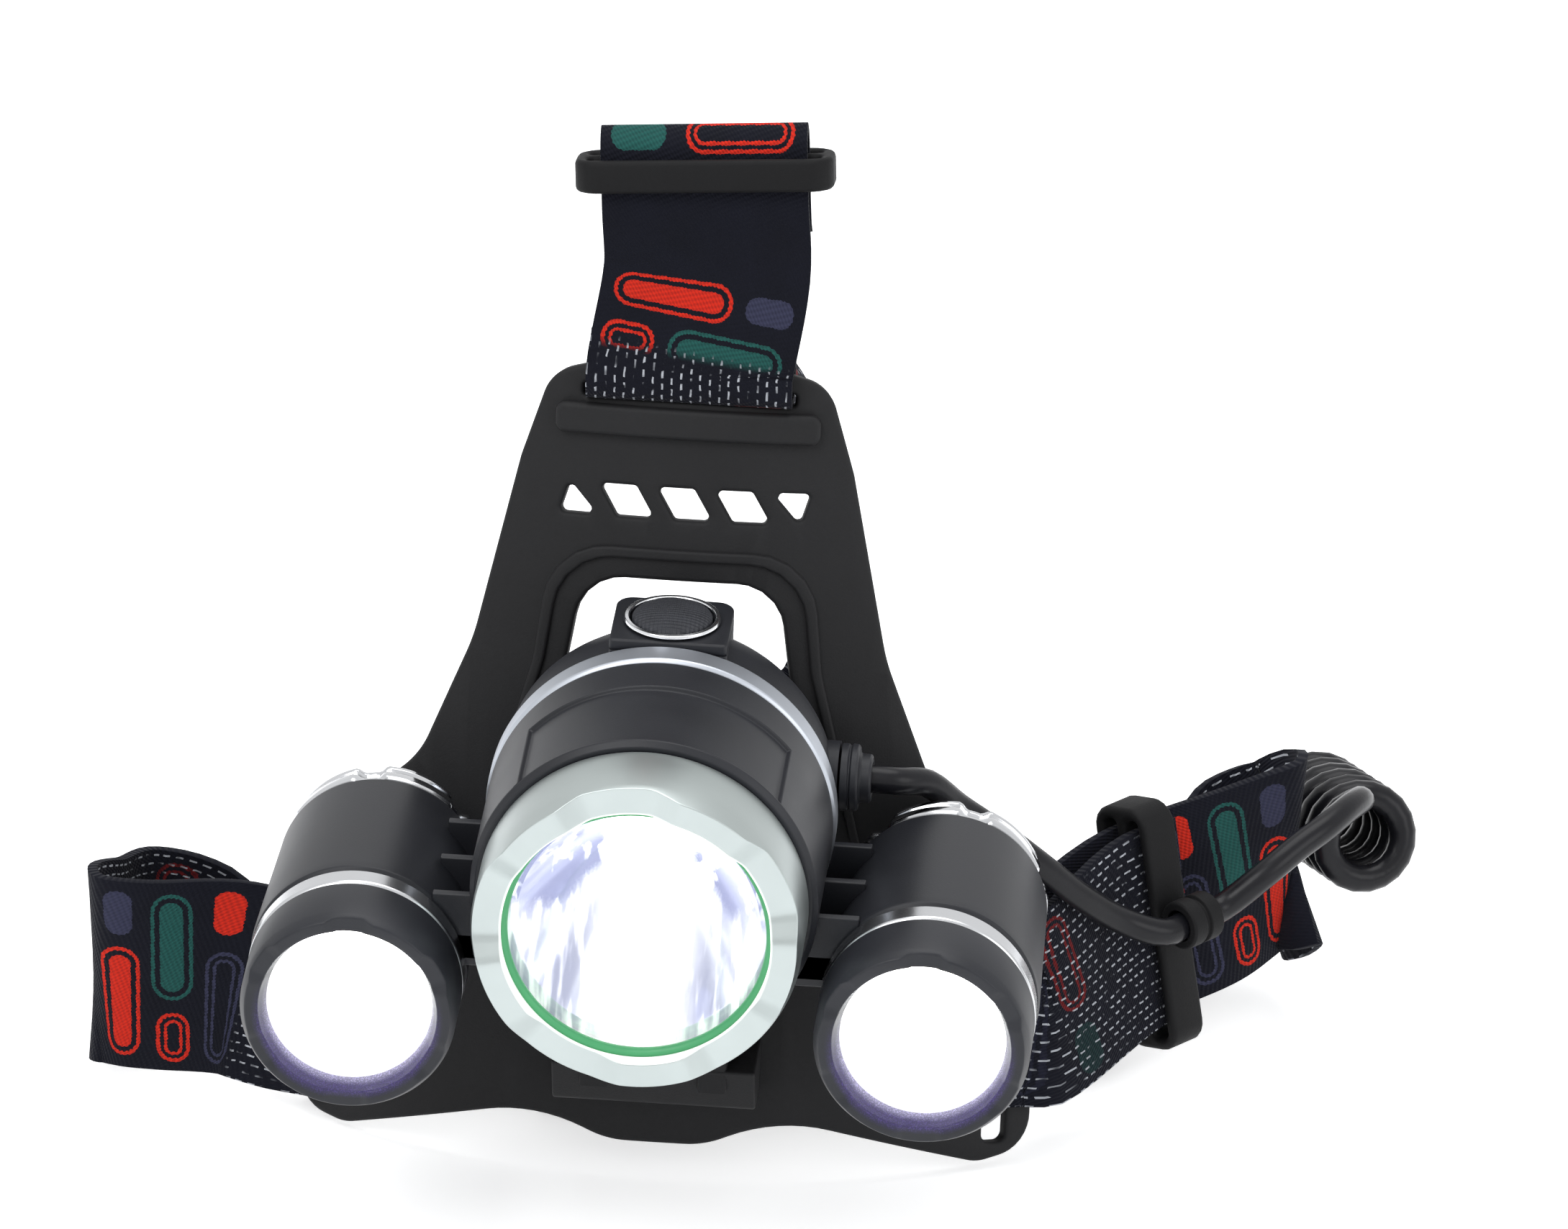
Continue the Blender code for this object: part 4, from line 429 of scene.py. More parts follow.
RINGS = [(0.0, 0.55), (1.1, 1.55)]
FILLED = [(0.0, 9.0)]
CORED = [(0.0, 0.55), (1.3, 9.0)]
PRINT_REPEAT = 46.0
PRINT = [
    ("slate", (10.8, -4.6), (5.4, 17.0), RINGS),
    ("slate", (25.6, 9.6), (3.6, 6.8), FILLED),
    ("teal", (3.4, -9.2), (4.2, 7.8), FILLED),
    ("teal", (18.2, 4.6), (6.0, 16.4), CORED),
    ("red", (3.4, 5.2), (5.4, 15.4), RINGS),
    ("red", (10.8, 9.8), (3.4, 6.6), FILLED),
    ("red", (18.2, -9.4), (4.8, 7.6), RINGS),
    ("red", (25.6, -4.2), (5.6, 17.0), CORED),
]
STITCH_ROW = 1.35
STITCH_PITCH = 1.45
STITCH_FADE = 2.0


def pill(along, across, middle, size, corner):
    """Signed distance from a rounded rectangle, in millimetres, negative inside."""
    x = abs(along - middle[0]) - (size[0] / 2 - corner)
    y = abs(across - middle[1]) - (size[1] / 2 - corner)
    out_x, out_y = x.most(0.0), y.most(0.0)
    return (out_x * out_x + out_y * out_y).root() + x.most(y).least(0.0) - corner


def knit(finish):
    """Along and across the webbing in millimetres, and its fine twill."""
    where = finish.node("UVMap", {"uv_map": "webbing"}, {})
    along, across, _ = finish.axes(where)
    along, across = along * 1000.0, across * 1000.0
    twill = ((along + across * 0.55) * 8.2).sine() * (across * 7.4).sine()
    return where, along, across, twill


def stitches(finish, where, along, across):
    """Rows of white dashes along the webbing, uneven as knitting is."""
    wobble = finish.noise(where, 420.0)
    rows = across / STITCH_ROW + wobble * 0.5
    shift = (rows.floor() % 2.0) * 0.5
    dash = (along / STITCH_PITCH + shift + wobble * 0.7) % 1.0
    line = rows % 1.0
    return (dash < 0.55) * line.near(0.5, 0.10) * wobble.ramp(0.38, 0.54)


def yarns(along, across, twill, offset):
    """Masks of the coloured yarns: bars and rings laid like bricks, then a bare stretch."""
    repeat = (along + offset) % PRINT_REPEAT
    masks = {}
    for yarn, middle, size, bands in PRINT:
        depth = pill(repeat, across, middle, size, min(size) / 2 - 0.1) + twill * 0.10
        for near, far in bands:
            mask = depth.near(-(near + far) / 2, (far - near) / 2)
            masks[yarn] = masks[yarn].most(mask) if yarn in masks else mask
    return masks


def webbing(name, look, offset, printed, stitched):
    """One side of the webbing: white stitches in one stretch and the print outside it."""
    fixed = {"Specular IOR Level": 0.1, "Sheen Weight": 0.05, "Sheen Roughness": 0.5}
    finish = Finish(name, fixed)
    where, along, across, twill = knit(finish)
    cloud = finish.noise(where, 130.0, 3.0)
    start, end = stitched
    zone = along.ramp(start, start + STITCH_FADE) * (1 - along.ramp(end - STITCH_FADE, end))
    tone = finish.mix(cloud, shade(look.ground, 0.7), shade(look.ground, 1.7))
    for yarn, shown in yarns(along, across, twill, offset).items():
        worn = shown * (1 - zone * printed) * (0.72 + twill * 0.22 + cloud * 0.2) * printed
        tone = finish.mix(worn, tone, getattr(look, yarn))
    tone = finish.mix(zone * stitches(finish, where, along, across), tone, look.thread)
    finish.set("Base Color", tone)
    finish.set("Roughness", 0.78 + cloud * 0.14)
    finish.bump(twill, 0.07 * MM)
    return finish.material


# Shapes

MERGE = 1e-6
FLAT = ((1, 0, 0), (0, 1, 0), (0, 0, 1))


def smooth_values(values, spans, steps):
    """Values on a smooth curve through the given values, which lie the spans apart."""
    slopes = []
    for i in range(len(values)):
        low, high = max(i - 1, 0), min(i + 1, len(values) - 1)
        slopes.append((values[high] - values[low]) / sum(spans[low:high]))
    path = []
    for i, span in enumerate(spans):
        for k in range(steps):
            t = k / steps
            leave, arrive = span * t * (1 - t)**2, span * t * t * (t - 1)
            straight = values[i].lerp(values[i + 1], t * t * (3 - 2 * t))
            path.append(straight + slopes[i] * leave + slopes[i + 1] * arrive)
    return path + [values[-1]]


def spans_of(points):
    return [(b - a).length for a, b in zip(points, points[1:])]


def smooth_path(points, steps=4):
    return smooth_values(points, spans_of(points), steps)


def turned(profile, steps):
    """A closed solid turned about Y from (radius, depth) points, in millimetres."""
    bm = bmesh.new()
    verts = [bm.verts.new((radius * MM, depth * MM, 0)) for radius, depth in profile]
    edges = [bm.edges.new(pair) for pair in zip(verts, verts[1:])]
    if profile[0][0] or profile[-1][0]:
        edges.append(bm.edges.new((verts[-1], verts[0])))
    bmesh.ops.spin(bm, geom=verts + edges, axis=(0, 1, 0), cent=(0, 0, 0), angle=2 * math.pi,
                   steps=steps, use_merge=True)
    bmesh.ops.remove_doubles(bm, verts=bm.verts, dist=MERGE / 10)
    bmesh.ops.recalc_face_normals(bm, faces=bm.faces)
    return bm


def moved(bm, matrix):
    bmesh.ops.transform(bm, matrix=matrix, verts=bm.verts)
    return bm


def at(place, *turns):
    """A placing matrix from a place and the turns made there."""
    matrix = Matrix.Translation(place)
    for turn in turns:
        matrix = matrix @ turn
    return matrix


def joined(bm, *others):
    """Adds other shapes to a shape."""
    for other in others:
        mesh = bpy.data.meshes.new("shape")
        other.to_mesh(mesh)
        other.free()
        bm.from_mesh(mesh)
        bpy.data.meshes.remove(mesh)
    return bm


def fillet(corners, steps=5):
    """A closed outline from (x, y, radius) corners, with an arc in each rounded one."""
    outline = []
    for i, (x, y, radius) in enumerate(corners):
        here = Vector((x, y))
        if not radius:
            outline.append((x, y))
            continue
        before = (Vector(corners[i - 1][:2]) - here).normalized()
        after = (Vector(corners[(i + 1) % len(corners)][:2]) - here).normalized()
        half = before.angle(after) / 2
        centre = here + (before + after).normalized() * (radius / math.sin(half))
        first = here + before * (radius / math.tan(half)) - centre
        last = here + after * (radius / math.tan(half)) - centre
        for k in range(steps + 1):
            arm = first.lerp(last, k / steps).normalized() * radius
            outline.append(tuple(centre + arm))
    return outline


def rectangle(low, high, radius):
    (x, y), (far_x, far_y) = low, high
    return fillet([(x, y, radius), (far_x, y, radius), (far_x, far_y, radius), (x, far_y, radius)])


def circle(middle, radius, steps=40):
    x, y = middle
    angles = [2 * math.pi * k / steps for k in range(steps)]
    return [(x + radius * math.cos(a), y + radius * math.sin(a)) for a in angles]


def scaled(outline):
    """An outline from millimetres to metres."""
    return [(x * MM, y * MM) for x, y in outline]


def in_scene(name, data):
    piece = bpy.data.objects.new(name, data)
    bpy.context.scene.collection.objects.link(piece)
    return piece


def curve_piece(name, lines, closed, settings):
    """A curve of straight spans through each line of points."""
    curve = bpy.data.curves.new(name, "CURVE")
    for key, value in settings.items():
        setattr(curve, key, value)
    for line in lines:
        spline = curve.splines.new("POLY")
        spline.points.add(len(line) - 1)
        for point, place in zip(spline.points, line):
            point.co = (*place, 1.0)
        spline.use_cyclic_u = closed
        spline.use_smooth = True
    return in_scene(name, curve)


def mesh_of(guide):
    """The mesh that a guide makes; the guide goes."""
    graph = bpy.context.evaluated_depsgraph_get()
    mesh = bpy.data.meshes.new_from_object(guide.evaluated_get(graph))
    bpy.data.objects.remove(guide)
    return mesh


def sheet(outlines, thickness, edge):
    """A sheet in X and Z from y = 0 to y = thickness, with rounded edges.

    The outlines are in millimetres, and all but the first are holes.
    """
    lines = [[(x, z, 0) for x, z in scaled(outline)] for outline in outlines]
    guide = curve_piece("sheet", lines, True, {
        "dimensions": "2D", "fill_mode": "BOTH", "bevel_depth": edge, "bevel_resolution": 2,
        "offset": -edge, "extrude": thickness / 2 - edge,
    })
    flat = mesh_of(guide)
    bm = bmesh.new()
    bm.from_mesh(flat)
    bpy.data.meshes.remove(flat)
    bmesh.ops.remove_doubles(bm, verts=bm.verts, dist=MERGE)
    swap = Matrix(((1, 0, 0, 0), (0, 0, -1, thickness / 2), (0, 1, 0, 0), (0, 0, 0, 1)))
    moved(bm, swap)
    bmesh.ops.recalc_face_normals(bm, faces=bm.faces)
    return bm


UPRIGHT = Matrix(((1, 0, 0, 0), (0, 0, 1, 0), (0, 1, 0, 0), (0, 0, 0, 1)))
SIDEWAYS = Matrix(((0, 1, 0, 0), (1, 0, 0, 0), (0, 0, 1, 0), (0, 0, 0, 1)))


def slab(outlines, low, high, edge, turn):
    """A sheet with its thickness along Z or X, from low to high, in millimetres."""
    bm = sheet(outlines, (high - low) * MM, edge * MM)
    moved(bm, turn @ Matrix.Translation((0, low * MM, 0)))
    bmesh.ops.recalc_face_normals(bm, faces=bm.faces)
    return bm


def block(outline, low, high, edge, axes=FLAT):
    """An outline pushed along an axis and rounded; axes place outline x, outline y and height."""
    bm = bmesh.new()
    face = bm.faces.new([bm.verts.new((x, y, low)) for x, y in outline])
    grown = bmesh.ops.extrude_face_region(bm, geom=[face])["geom"]
    top = [item for item in grown if isinstance(item, bmesh.types.BMVert)]
    bmesh.ops.translate(bm, verts=top, vec=(0, 0, high - low))
    bmesh.ops.recalc_face_normals(bm, faces=bm.faces)
    sharp = [line for line in bm.edges if line.calc_face_angle(0) > math.radians(40)]
    bmesh.ops.bevel(bm, geom=sharp, offset=edge, offset_type="OFFSET", segments=3, profile=0.5,
                    affect="EDGES", clamp_overlap=True, material=-1)
    moved(bm, Matrix(axes).transposed().to_4x4())
    bmesh.ops.recalc_face_normals(bm, faces=bm.faces)
    return bm


def copy_of(node):
    """A CAD node's shape with its corners merged and its flat faces whole."""
    bm = bmesh.new()
    bm.from_mesh(frame["nodes"][node].data)
    bmesh.ops.remove_doubles(bm, verts=bm.verts, dist=MERGE)
    bmesh.ops.dissolve_limit(bm, angle_limit=math.radians(1), verts=bm.verts, edges=bm.edges)
    return bm


def new_piece(name, bm, finishes, sharp):
    mesh = bpy.data.meshes.new(name)
    bm.to_mesh(mesh)
    bm.free()
    mesh.shade_smooth()
    mesh.set_sharp_from_angle(angle=math.radians(sharp))
    for finish in finishes:
        mesh.materials.append(finish)
    return in_scene(name, mesh)


def round_edges(piece, width, sharp, harden):
    bevel = piece.modifiers.new("edge", "BEVEL")
    bevel.width = width
    bevel.segments = 2
    bevel.limit_method = "ANGLE"
    bevel.angle_limit = math.radians(sharp)
    bevel.harden_normals = harden


def settle(piece, node):
    """Lets a piece ride where its CAD node rides and stand for it."""
    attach(piece, BODY_OF[node])
    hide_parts(node)
    return piece


def dress(node, bm, finish, edge=0.0, sharp=35):
    """A finished piece in the place of a CAD node, with its sharp edges rounded."""
    piece = new_piece("dressed_" + node, bm, [finish], sharp)
    if edge:
        round_edges(piece, edge, 30, True)
    return settle(piece, node)


def paint(node, finish):
    """Gives a CAD node that stays a finish of its own."""
    mesh = frame["nodes"][node].data
    mesh.materials.clear()
    mesh.materials.append(finish)


class HeadlampOperator(bpy.types.Operator):
    bl_options = {"REGISTER", "UNDO"}


# Stage: the photo's frame in pixels, and each light's name, place, target, size and power

PHOTO_WIDTH = 2179
PHOTO_HEIGHT = 1708
LENS_PIXEL = (882, 1310)
PIXELS_PER_MM = 10.0
SENSOR_WIDTH = 36.0
FLOOR_SIZE = 6.0
FLOOR_DROP = 0.2 * MM
ROOM_TONE = (0.95, 0.97, 1.0, 1.0)
ROOM_STRENGTH = 0.55
SEEN_RAYS = ("Camera", "Glossy", "Transmission")
LIGHTS = (
    ("key", (-0.45, -0.75, 1.05), (0, -0.04, 0.05), 0.75, 6.5),
    ("fill", (0.95, -0.55, 0.55), (0, -0.04, 0.05), 0.7, 2.6),
    ("top", (0.05, 0.25, 1.2), (0, -0.03, 0.05), 0.9, 5.5),
)


class HEADLAMP_OT_stage(HeadlampOperator):
    """Sets the camera, the floor, the lights and the background"""

    bl_idname = "headlamp.stage"
    bl_label = "Stage"

    def execute(self, context):
        look = context.scene.headlamp_stage
        self.set_camera(context, look)
        self.add_floor(look)
        self.set_world(context, look)
        for light in LIGHTS:
            self.add_light(*light)
        context.scene.view_settings.view_transform = "Standard"
        return {"FINISHED"}

    def set_camera(self, context, look):
        data = bpy.data.cameras.new("camera")
        camera = in_scene("camera", data)
        a, e = look.azimuth, look.elevation
        back = Vector((math.sin(a) * math.cos(e), -math.cos(a) * math.cos(e), math.sin(e)))
        turn = (-back).to_track_quat("-Z", "Y").to_matrix() @ Matrix.Rotation(look.roll, 3, "Z")
        aside = Vector((PHOTO_WIDTH / 2 - LENS_PIXEL[0], LENS_PIXEL[1] - PHOTO_HEIGHT / 2, 0))
        aim = turn @ (aside * MM / PIXELS_PER_MM) - back * look.distance
        turn = (-back).rotation_difference(aim).to_matrix() @ turn
        camera.matrix_world = Matrix.Translation(LAMP + back * look.distance) @ turn.to_4x4()
        data.sensor_width = SENSOR_WIDTH
        data.lens = SENSOR_WIDTH * PIXELS_PER_MM * look.distance / MM / PHOTO_WIDTH
        data.clip_start, data.clip_end = 0.05, 50.0
        context.scene.camera = camera

    def add_floor(self, look):
        bm = bmesh.new()
        bmesh.ops.create_grid(bm, x_segments=1, y_segments=1, size=FLOOR_SIZE)
        moved(bm, Matrix.Translation((0, 0, -FLOOR_DROP)))
        fixed = {"Roughness": 0.9, "Specular IOR Level": 0.1, "Emission Strength": 1.0}
        finish = Finish("floor", {"Base Color": look.floor, **fixed})
        rays = [finish.node("LightPath", {}, {}, "Is %s Ray" % kind) for kind in SEEN_RAYS]
        seen = sum(rays).least(1.0)
        finish.set("Emission Color", finish.mix(seen, BLACK, shade(look.floor, 0.62)))
        new_piece("floor", bm, [finish.material], 35)

    def set_world(self, context, look):
        world = bpy.data.worlds.new("studio")
        world.use_nodes = True
        context.scene.world = world
        tree = world.node_tree
        room = tree.nodes["Background"]
        room.inputs["Color"].default_value = ROOM_TONE
        room.inputs["Strength"].default_value = ROOM_STRENGTH
        white = tree.nodes.new("ShaderNodeBackground")
        white.inputs["Color"].default_value = (*look.floor, 1.0)
        rays = tree.nodes.new("ShaderNodeLightPath").outputs
        seen = rays["Is Camera Ray"]
        for kind in SEEN_RAYS[1:]:
            add = tree.nodes.new("ShaderNodeMath")
            add.use_clamp = True
            tree.links.new(seen, add.inputs[0])
            tree.links.new(rays["Is %s Ray" % kind], add.inputs[1])
            seen = add.outputs[0]
        mix = tree.nodes.new("ShaderNodeMixShader")
        for k, output in enumerate((seen, room.outputs[0], white.outputs[0])):
            tree.links.new(output, mix.inputs[k])
        tree.links.new(mix.outputs[0], tree.nodes["World Output"].inputs["Surface"])

    def add_light(self, name, place, target, size, power):
        data = bpy.data.lights.new(name, "AREA")
        data.shape = "DISK"
        data.size = size
        data.energy = power
        turn = (Vector(target) - Vector(place)).to_track_quat("-Z", "Y").to_matrix().to_4x4()
        in_scene(name, data).matrix_world = Matrix.Translation(place) @ turn


# Power cord: bends in millimetres in the lamps' frame, and steps from the mouth of the case gland

CLIP = Vector((73.91, -16.57, 30.08)) * MM
CLIP_RUN = Vector((0.65, 0.76, 0)).normalized()
CLIP_UP = Vector((-0.18385, 0.15724, 0.9703))
CLIP_REACHES = (6, 0.3)
GLAND_MOUTH = Vector((24.6, -43.5, 62.9)) * MM
CASE_GLAND_MOUTH = Vector((26.0, 21.35, 10.0)) * MM
GLAND_REACHES = (2.6 * MM, 4.4 * MM)
COIL_RADIUS = 6.1 * MM
COIL_PITCH = 4.7 * MM
COIL_LOOPS = 6
COIL_START = math.radians(110)
COIL_RUN = Vector((-0.31, 0.9, -0.27)).normalized()
COIL_END = (97.4, 108, -31.1)
CURL_POINTS = 20
FRONT_BENDS = (
    (32.6, 51, 2.1), (36.6, 54.4, 0.4), (41, 58.2, -5), (46.4, 60.8, -10), (52, 63, -15.4),
    (58, 66.5, -22), (64, 70.6, -27.6),
)
LEAD_BENDS = (
    (83.5, 84.5, -26), (88, 88.5, -23.2), (91.8, 92.5, -21.6), (94.6, 97.5, -21),
    (96.2, 103, -22.2),
)
TAIL_BENDS = (
    (78.5, 138.5, -38), (72.5, 139.5, -44), (66.5, 139, -51.5), (58.5, 137, -56.8),
    (48, 133.5, -57.8), (40, 131, -56.5),
)
CASE_STEPS = ((6, 13.4, -5), (1, 8.4, -0.5), (0, 4.4, 0), (0, 3.5, 0), (0, 2.6, 0))


def in_lamp(x, y, z):
    """A point of the lamps' frame, given in millimetres."""
    return LAMP + Vector((x, y, z)) * MM


def front_route():
    route = [GLAND_MOUTH + Vector((reach, 0, 0)) for reach in GLAND_REACHES]
    route += [in_lamp(*point) for point in FRONT_BENDS]
    route += [CLIP - CLIP_RUN * reach * MM for reach in CLIP_REACHES]
    return smooth_path(route)


def curly_route():
    right = COIL_RUN.cross(Vector((0, 0, 1))).normalized()
    over = right.cross(COIL_RUN)
    coil = []
    for k in range(COIL_LOOPS * CURL_POINTS + 1):
        turns = k / CURL_POINTS
        swing = 2 * math.pi * turns + COIL_START
        arm = right * math.cos(swing) + over * math.sin(swing)
        coil.append(in_lamp(*COIL_END) + COIL_RUN * COIL_PITCH * turns + COIL_RADIUS * arm)
    lead = [CLIP + CLIP_RUN * reach * MM for reach in reversed(CLIP_REACHES)]
    lead += [in_lamp(*point) for point in LEAD_BENDS]
    tail = [in_lamp(*point) for point in TAIL_BENDS]
    tail += [CASE_GLAND_MOUTH + Vector(step) * MM for step in CASE_STEPS]
    return smooth_path(lead + coil[:1]) + coil[1:-1] + smooth_path(coil[-1:] + tail)


def cord_curve(name, route, radius, finish):
    piece = curve_piece(name, [route], False, {
        "dimensions": "3D", "bevel_depth": radius, "bevel_resolution": 5, "use_fill_caps": True,
    })
    piece.data.materials.append(finish)
    return piece


class HEADLAMP_OT_cords(HeadlampOperator):
    """Lays the cord from the lamp to the clip, and the curly cord from there to the battery case"""

    bl_idname = "headlamp.cords"
    bl_label = "Cords"

    def execute(self, context):
        look = context.scene.headlamp_straps
        jacket = glossy_jacket("cord_jacket_gloss", look.jacket)
        route = front_route()
        mesh = mesh_of(cord_curve("front_guide", route, look.cord_radius, jacket))
        mesh.shade_smooth()
        cord = in_scene("dressed_cord_front", mesh)
        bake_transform(cord)
        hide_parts("cord_front")
        sum(spans_of(route))
        route = curly_route()
        curly = cord_curve("dressed_cord_curly", route, look.cord_radius, jacket)
        settle(curly, "cord_curly")
        sum(spans_of(route))
        return {"FINISHED"}


# Straps: rows of the middle of the webbing in millimetres and the direction of its width

STRAP_CLEAR = 1.25
WING_BAR = 51.3
WING_REACH = 3.9
WING_SPREAD = 2.0
WING_REAR_GAPS = (1.5, 0.6)
WING_FRONT_GAP = 0.3
LEFT_MIDDLE = -40.6
RIGHT_MIDDLE = -35.6
TOP_BAR = 53.4
TOP_EDGE = 56.6
TOP_SEWN = 4.0
TOP_BOW = 1.015
TOP_LOOP = 84.7
TOP_LOOP_SHIFT = 0.8
TOP_LOOP_RISE = 3.9
TOP_LOOP_DEPTH = 4.4
TOP_LOOP_FOOT = (14.1, 4.7, 5.64)
SIDE_LANE = 2.2
SIDE_PASS = 4.96
CASE_MIDDLE = -4.0
CASE_BAR_SIDE = 44.1
CASE_BAR_FRONT = 25.15
CASE_BAR_MIDDLE = 4.1
CASE_BAR_HEIGHT = 3.0
CASE_BAR_WIDTH = 3.2
LEFT_HANG = [
    (-63, -31.8, 19, 0, 0.15, 0.99), (-74, -32.2, 18.8, 0, 0.05, 1),
    (-80.4, -31.1, 18.5, -0.08, 0.05, 1), (-82.6, -27.5, 17.8, -0.05, 0.08, 0.99),
    (-81.6, -22, 16.2, 0.02, 0.05, 1), (-78.5, -15, 15, 0.18, 0.25, 0.95),
    (-73.5, -8.5, 13.1, 0.52, -0.12, 0.82), (-66.5, -3.5, 8.4, 0.55, -0.74, 0.36),
    (-60, -0.6, 6.9, 0.2, -0.98, 0.06),
]
RIGHT_HANG = [
    (77, 0, 27.2, -0.13, 0.11, 0.99), (82.6, 5.4, 28.2, -0.05, 0.03, 1),
    (85.8, 9.2, 28.5, 0.03, 0, 1), (86.4, 12, 28, 0.03, -0.06, 1),
    (84.6, 14.2, 25.2, -0.1, 0.36, 0.88), (80, 15.8, 23, -0.4, 0.02, 0.9),
    (74.5, 16.4, 20, -0.25, -0.72, 0.65), (68.6, 15.4, 15, 0, -0.86, 0.5),
    (62, 13, 10.4, 0.28, -0.9, 0.32), (55.8, 7.4, 8, 0.46, -0.88, 0.06),
    (51.4, 2.2, 7.4, 0.2, -0.98, 0),
]
TOP_HANG = [
    (1.4, -12.6, 131.4, 0.99, 0.15, 0), (2.2, -9, 123.9, 0.65, 0.76, 0),
    (4.5, -5, 115.4, 0.1, 1, 0), (9.5, -3.5, 106.4, -0.08, 1, 0), (14.6, -3, 98.4, -0.08, 1, 0),
    (17.8, -3.5, 91.4, -0.08, 1, 0), (19, -5, 83.4, -0.08, 1, 0), (20.2, -9, 73.9, 0, 1, 0),
    (18.8, -17, 64.4, 0.35, 0.94, 0), (12, -22.4, 55.4, 0.78, 0.62, 0),
    (4.5, -25.2, 45.4, 0.97, 0.24, 0), (-1.5, -25.4, 35.4, 1, 0, 0), (-4, -24.6, 26.4, 1, 0, 0),
]
LANES = 8
STRAP_STEPS = 6
STRAP_EDGE = 0.4 * MM
STRAP_SHARP = 60
REVERSE_PRINT = 0.3
ALL_ALONG = (0.0, 300.0)


def strap_row(middle, width):
    """A row of a strap, to a hundredth of a millimetre."""
    return [round(value, 2) for value in (*middle, *width)]


def plate_row(across, up, back, width):
    """A row of a strap at a place of the plate, given in millimetres."""
    return strap_row(on_plate(across * MM, up * MM, back * MM) / MM, width)


def round_bar(height):
    """The webbing round the near edge of a bar, as offsets along the strap and through the bar."""
    half = height / 2
    clear = half + STRAP_CLEAR
    return [(0, clear), (-STRAP_CLEAR, half), (-STRAP_CLEAR, -half), (0, -clear)]


def wing_fold(side, up):
    """Rows round the outer bar of a wing slot, from behind the plate to its front."""
    height = PLATE_THICKNESS / MM
    clear = height / 2 + STRAP_CLEAR
    end = WING_REACH + WING_SPREAD
    far_gap, near_gap = WING_REAR_GAPS
    behind_bar = [(end, clear + far_gap), (WING_REACH, clear + near_gap)]
    before_bar = [(WING_REACH / 2, -clear), (end, -clear - WING_FRONT_GAP)]
    return [
        plate_row(side * (WING_BAR + along), up, height / 2 + back, PLATE_RISE)
        for along, back in behind_bar + round_bar(height) + before_bar
    ]


def top_fold():
    """Rows round the bar of the top slot, up through the adjuster and over its middle bar."""
    depth = PLATE_THICKNESS / MM + TOP_BOW
    turn = [(TOP_BAR + along, depth / 2 + back) for along, back in round_bar(depth)]
    sewn = [(TOP_EDGE + TOP_SEWN, depth + STRAP_CLEAR), (TOP_EDGE, depth + STRAP_CLEAR)]
    rows = [
        plate_row(0, up, back, (1, 0, 0)) for up, back in sewn + turn + [(TOP_EDGE, -STRAP_CLEAR)]
    ]
    low, entry, leave = (TOP_LOOP - foot for foot in TOP_LOOP_FOOT)
    high, rear = TOP_LOOP + TOP_LOOP_RISE, TOP_LOOP_DEPTH - STRAP_CLEAR
    half = TOP_LOOP_DEPTH / 2
    loop = [
        (low, -STRAP_CLEAR), (entry, -STRAP_CLEAR), (high, -STRAP_CLEAR),
        (high + half, half - STRAP_CLEAR), (high, rear), (leave, rear),
    ]
    turn = TOP_ADJUSTER_TURN
    width = Vector((math.cos(turn), 0, 0)) + Vector(PLATE_RISE) * math.sin(turn)
    for up, back in loop:
        drift = TOP_LOOP_SHIFT + (TOP_LOOP - up) * math.tan(turn)
        rows.append(plate_row(drift, up, back, width))
    return rows


def side_pass(lane, way):
    """Rows where a layer of the right strap passes the side adjuster, in a lane and one way."""
    run, up = Vector(CLIP_RUN).normalized(), Vector(CLIP_UP).normalized()
    middle = SIDE_ADJUSTER / MM + run.cross(up) * lane
    return [strap_row(middle + run * step, up) for step in (-way, way)]


def end_fold(side):
    """Rows round the strap bar at an end of the battery case, from above it to below it."""
    clear = CASE_BAR_HEIGHT / 2 + STRAP_CLEAR
    end = 2 * CASE_BAR_WIDTH
    rows = []
    for along, up in [(end, clear)] + round_bar(CASE_BAR_HEIGHT) + [(end, -clear)]:
        across = CASE_MIDDLE + side * (CASE_BAR_SIDE + along)
        rows.append(strap_row((across, 0, CASE_BAR_MIDDLE + up), (0, -1, 0)))
    return rows


def front_fold():
    """Rows round the strap bar at the front of the battery case, from behind it to before it."""
    half = CASE_BAR_HEIGHT / 2
    clear = half + STRAP_CLEAR
    near, far = CASE_BAR_FRONT, CASE_BAR_FRONT + CASE_BAR_WIDTH
    inside, outside = near - STRAP_CLEAR, far + STRAP_CLEAR
    turn = [
        (inside, 4 * clear), (inside, -half), (near, -clear), (far, -clear), (outside, -half),
        (outside, 3 * clear),
    ]
    return [strap_row((CASE_MIDDLE, -y, CASE_BAR_MIDDLE + up), (1, 0, 0)) for y, up in turn]


def left_run():
    return wing_fold(-1, LEFT_MIDDLE) + LEFT_HANG + end_fold(-1)


def right_run():
    outer, inner = side_pass(SIDE_LANE, -SIDE_PASS), side_pass(-SIDE_LANE, SIDE_PASS)
    fold = wing_fold(1, RIGHT_MIDDLE)
    return outer + fold[::-1] + inner + RIGHT_HANG + end_fold(1)


def top_run():
    return top_fold() + TOP_HANG + front_fold()


STRAPS = (
    ("left_strap", left_run, 30.0, (13.0, 24.0), True),
    ("right_strap", right_run, 24.0, (30.0, 46.0), False),
    ("top_strap", top_run, 44.0, (11.0, 20.5), True),
)


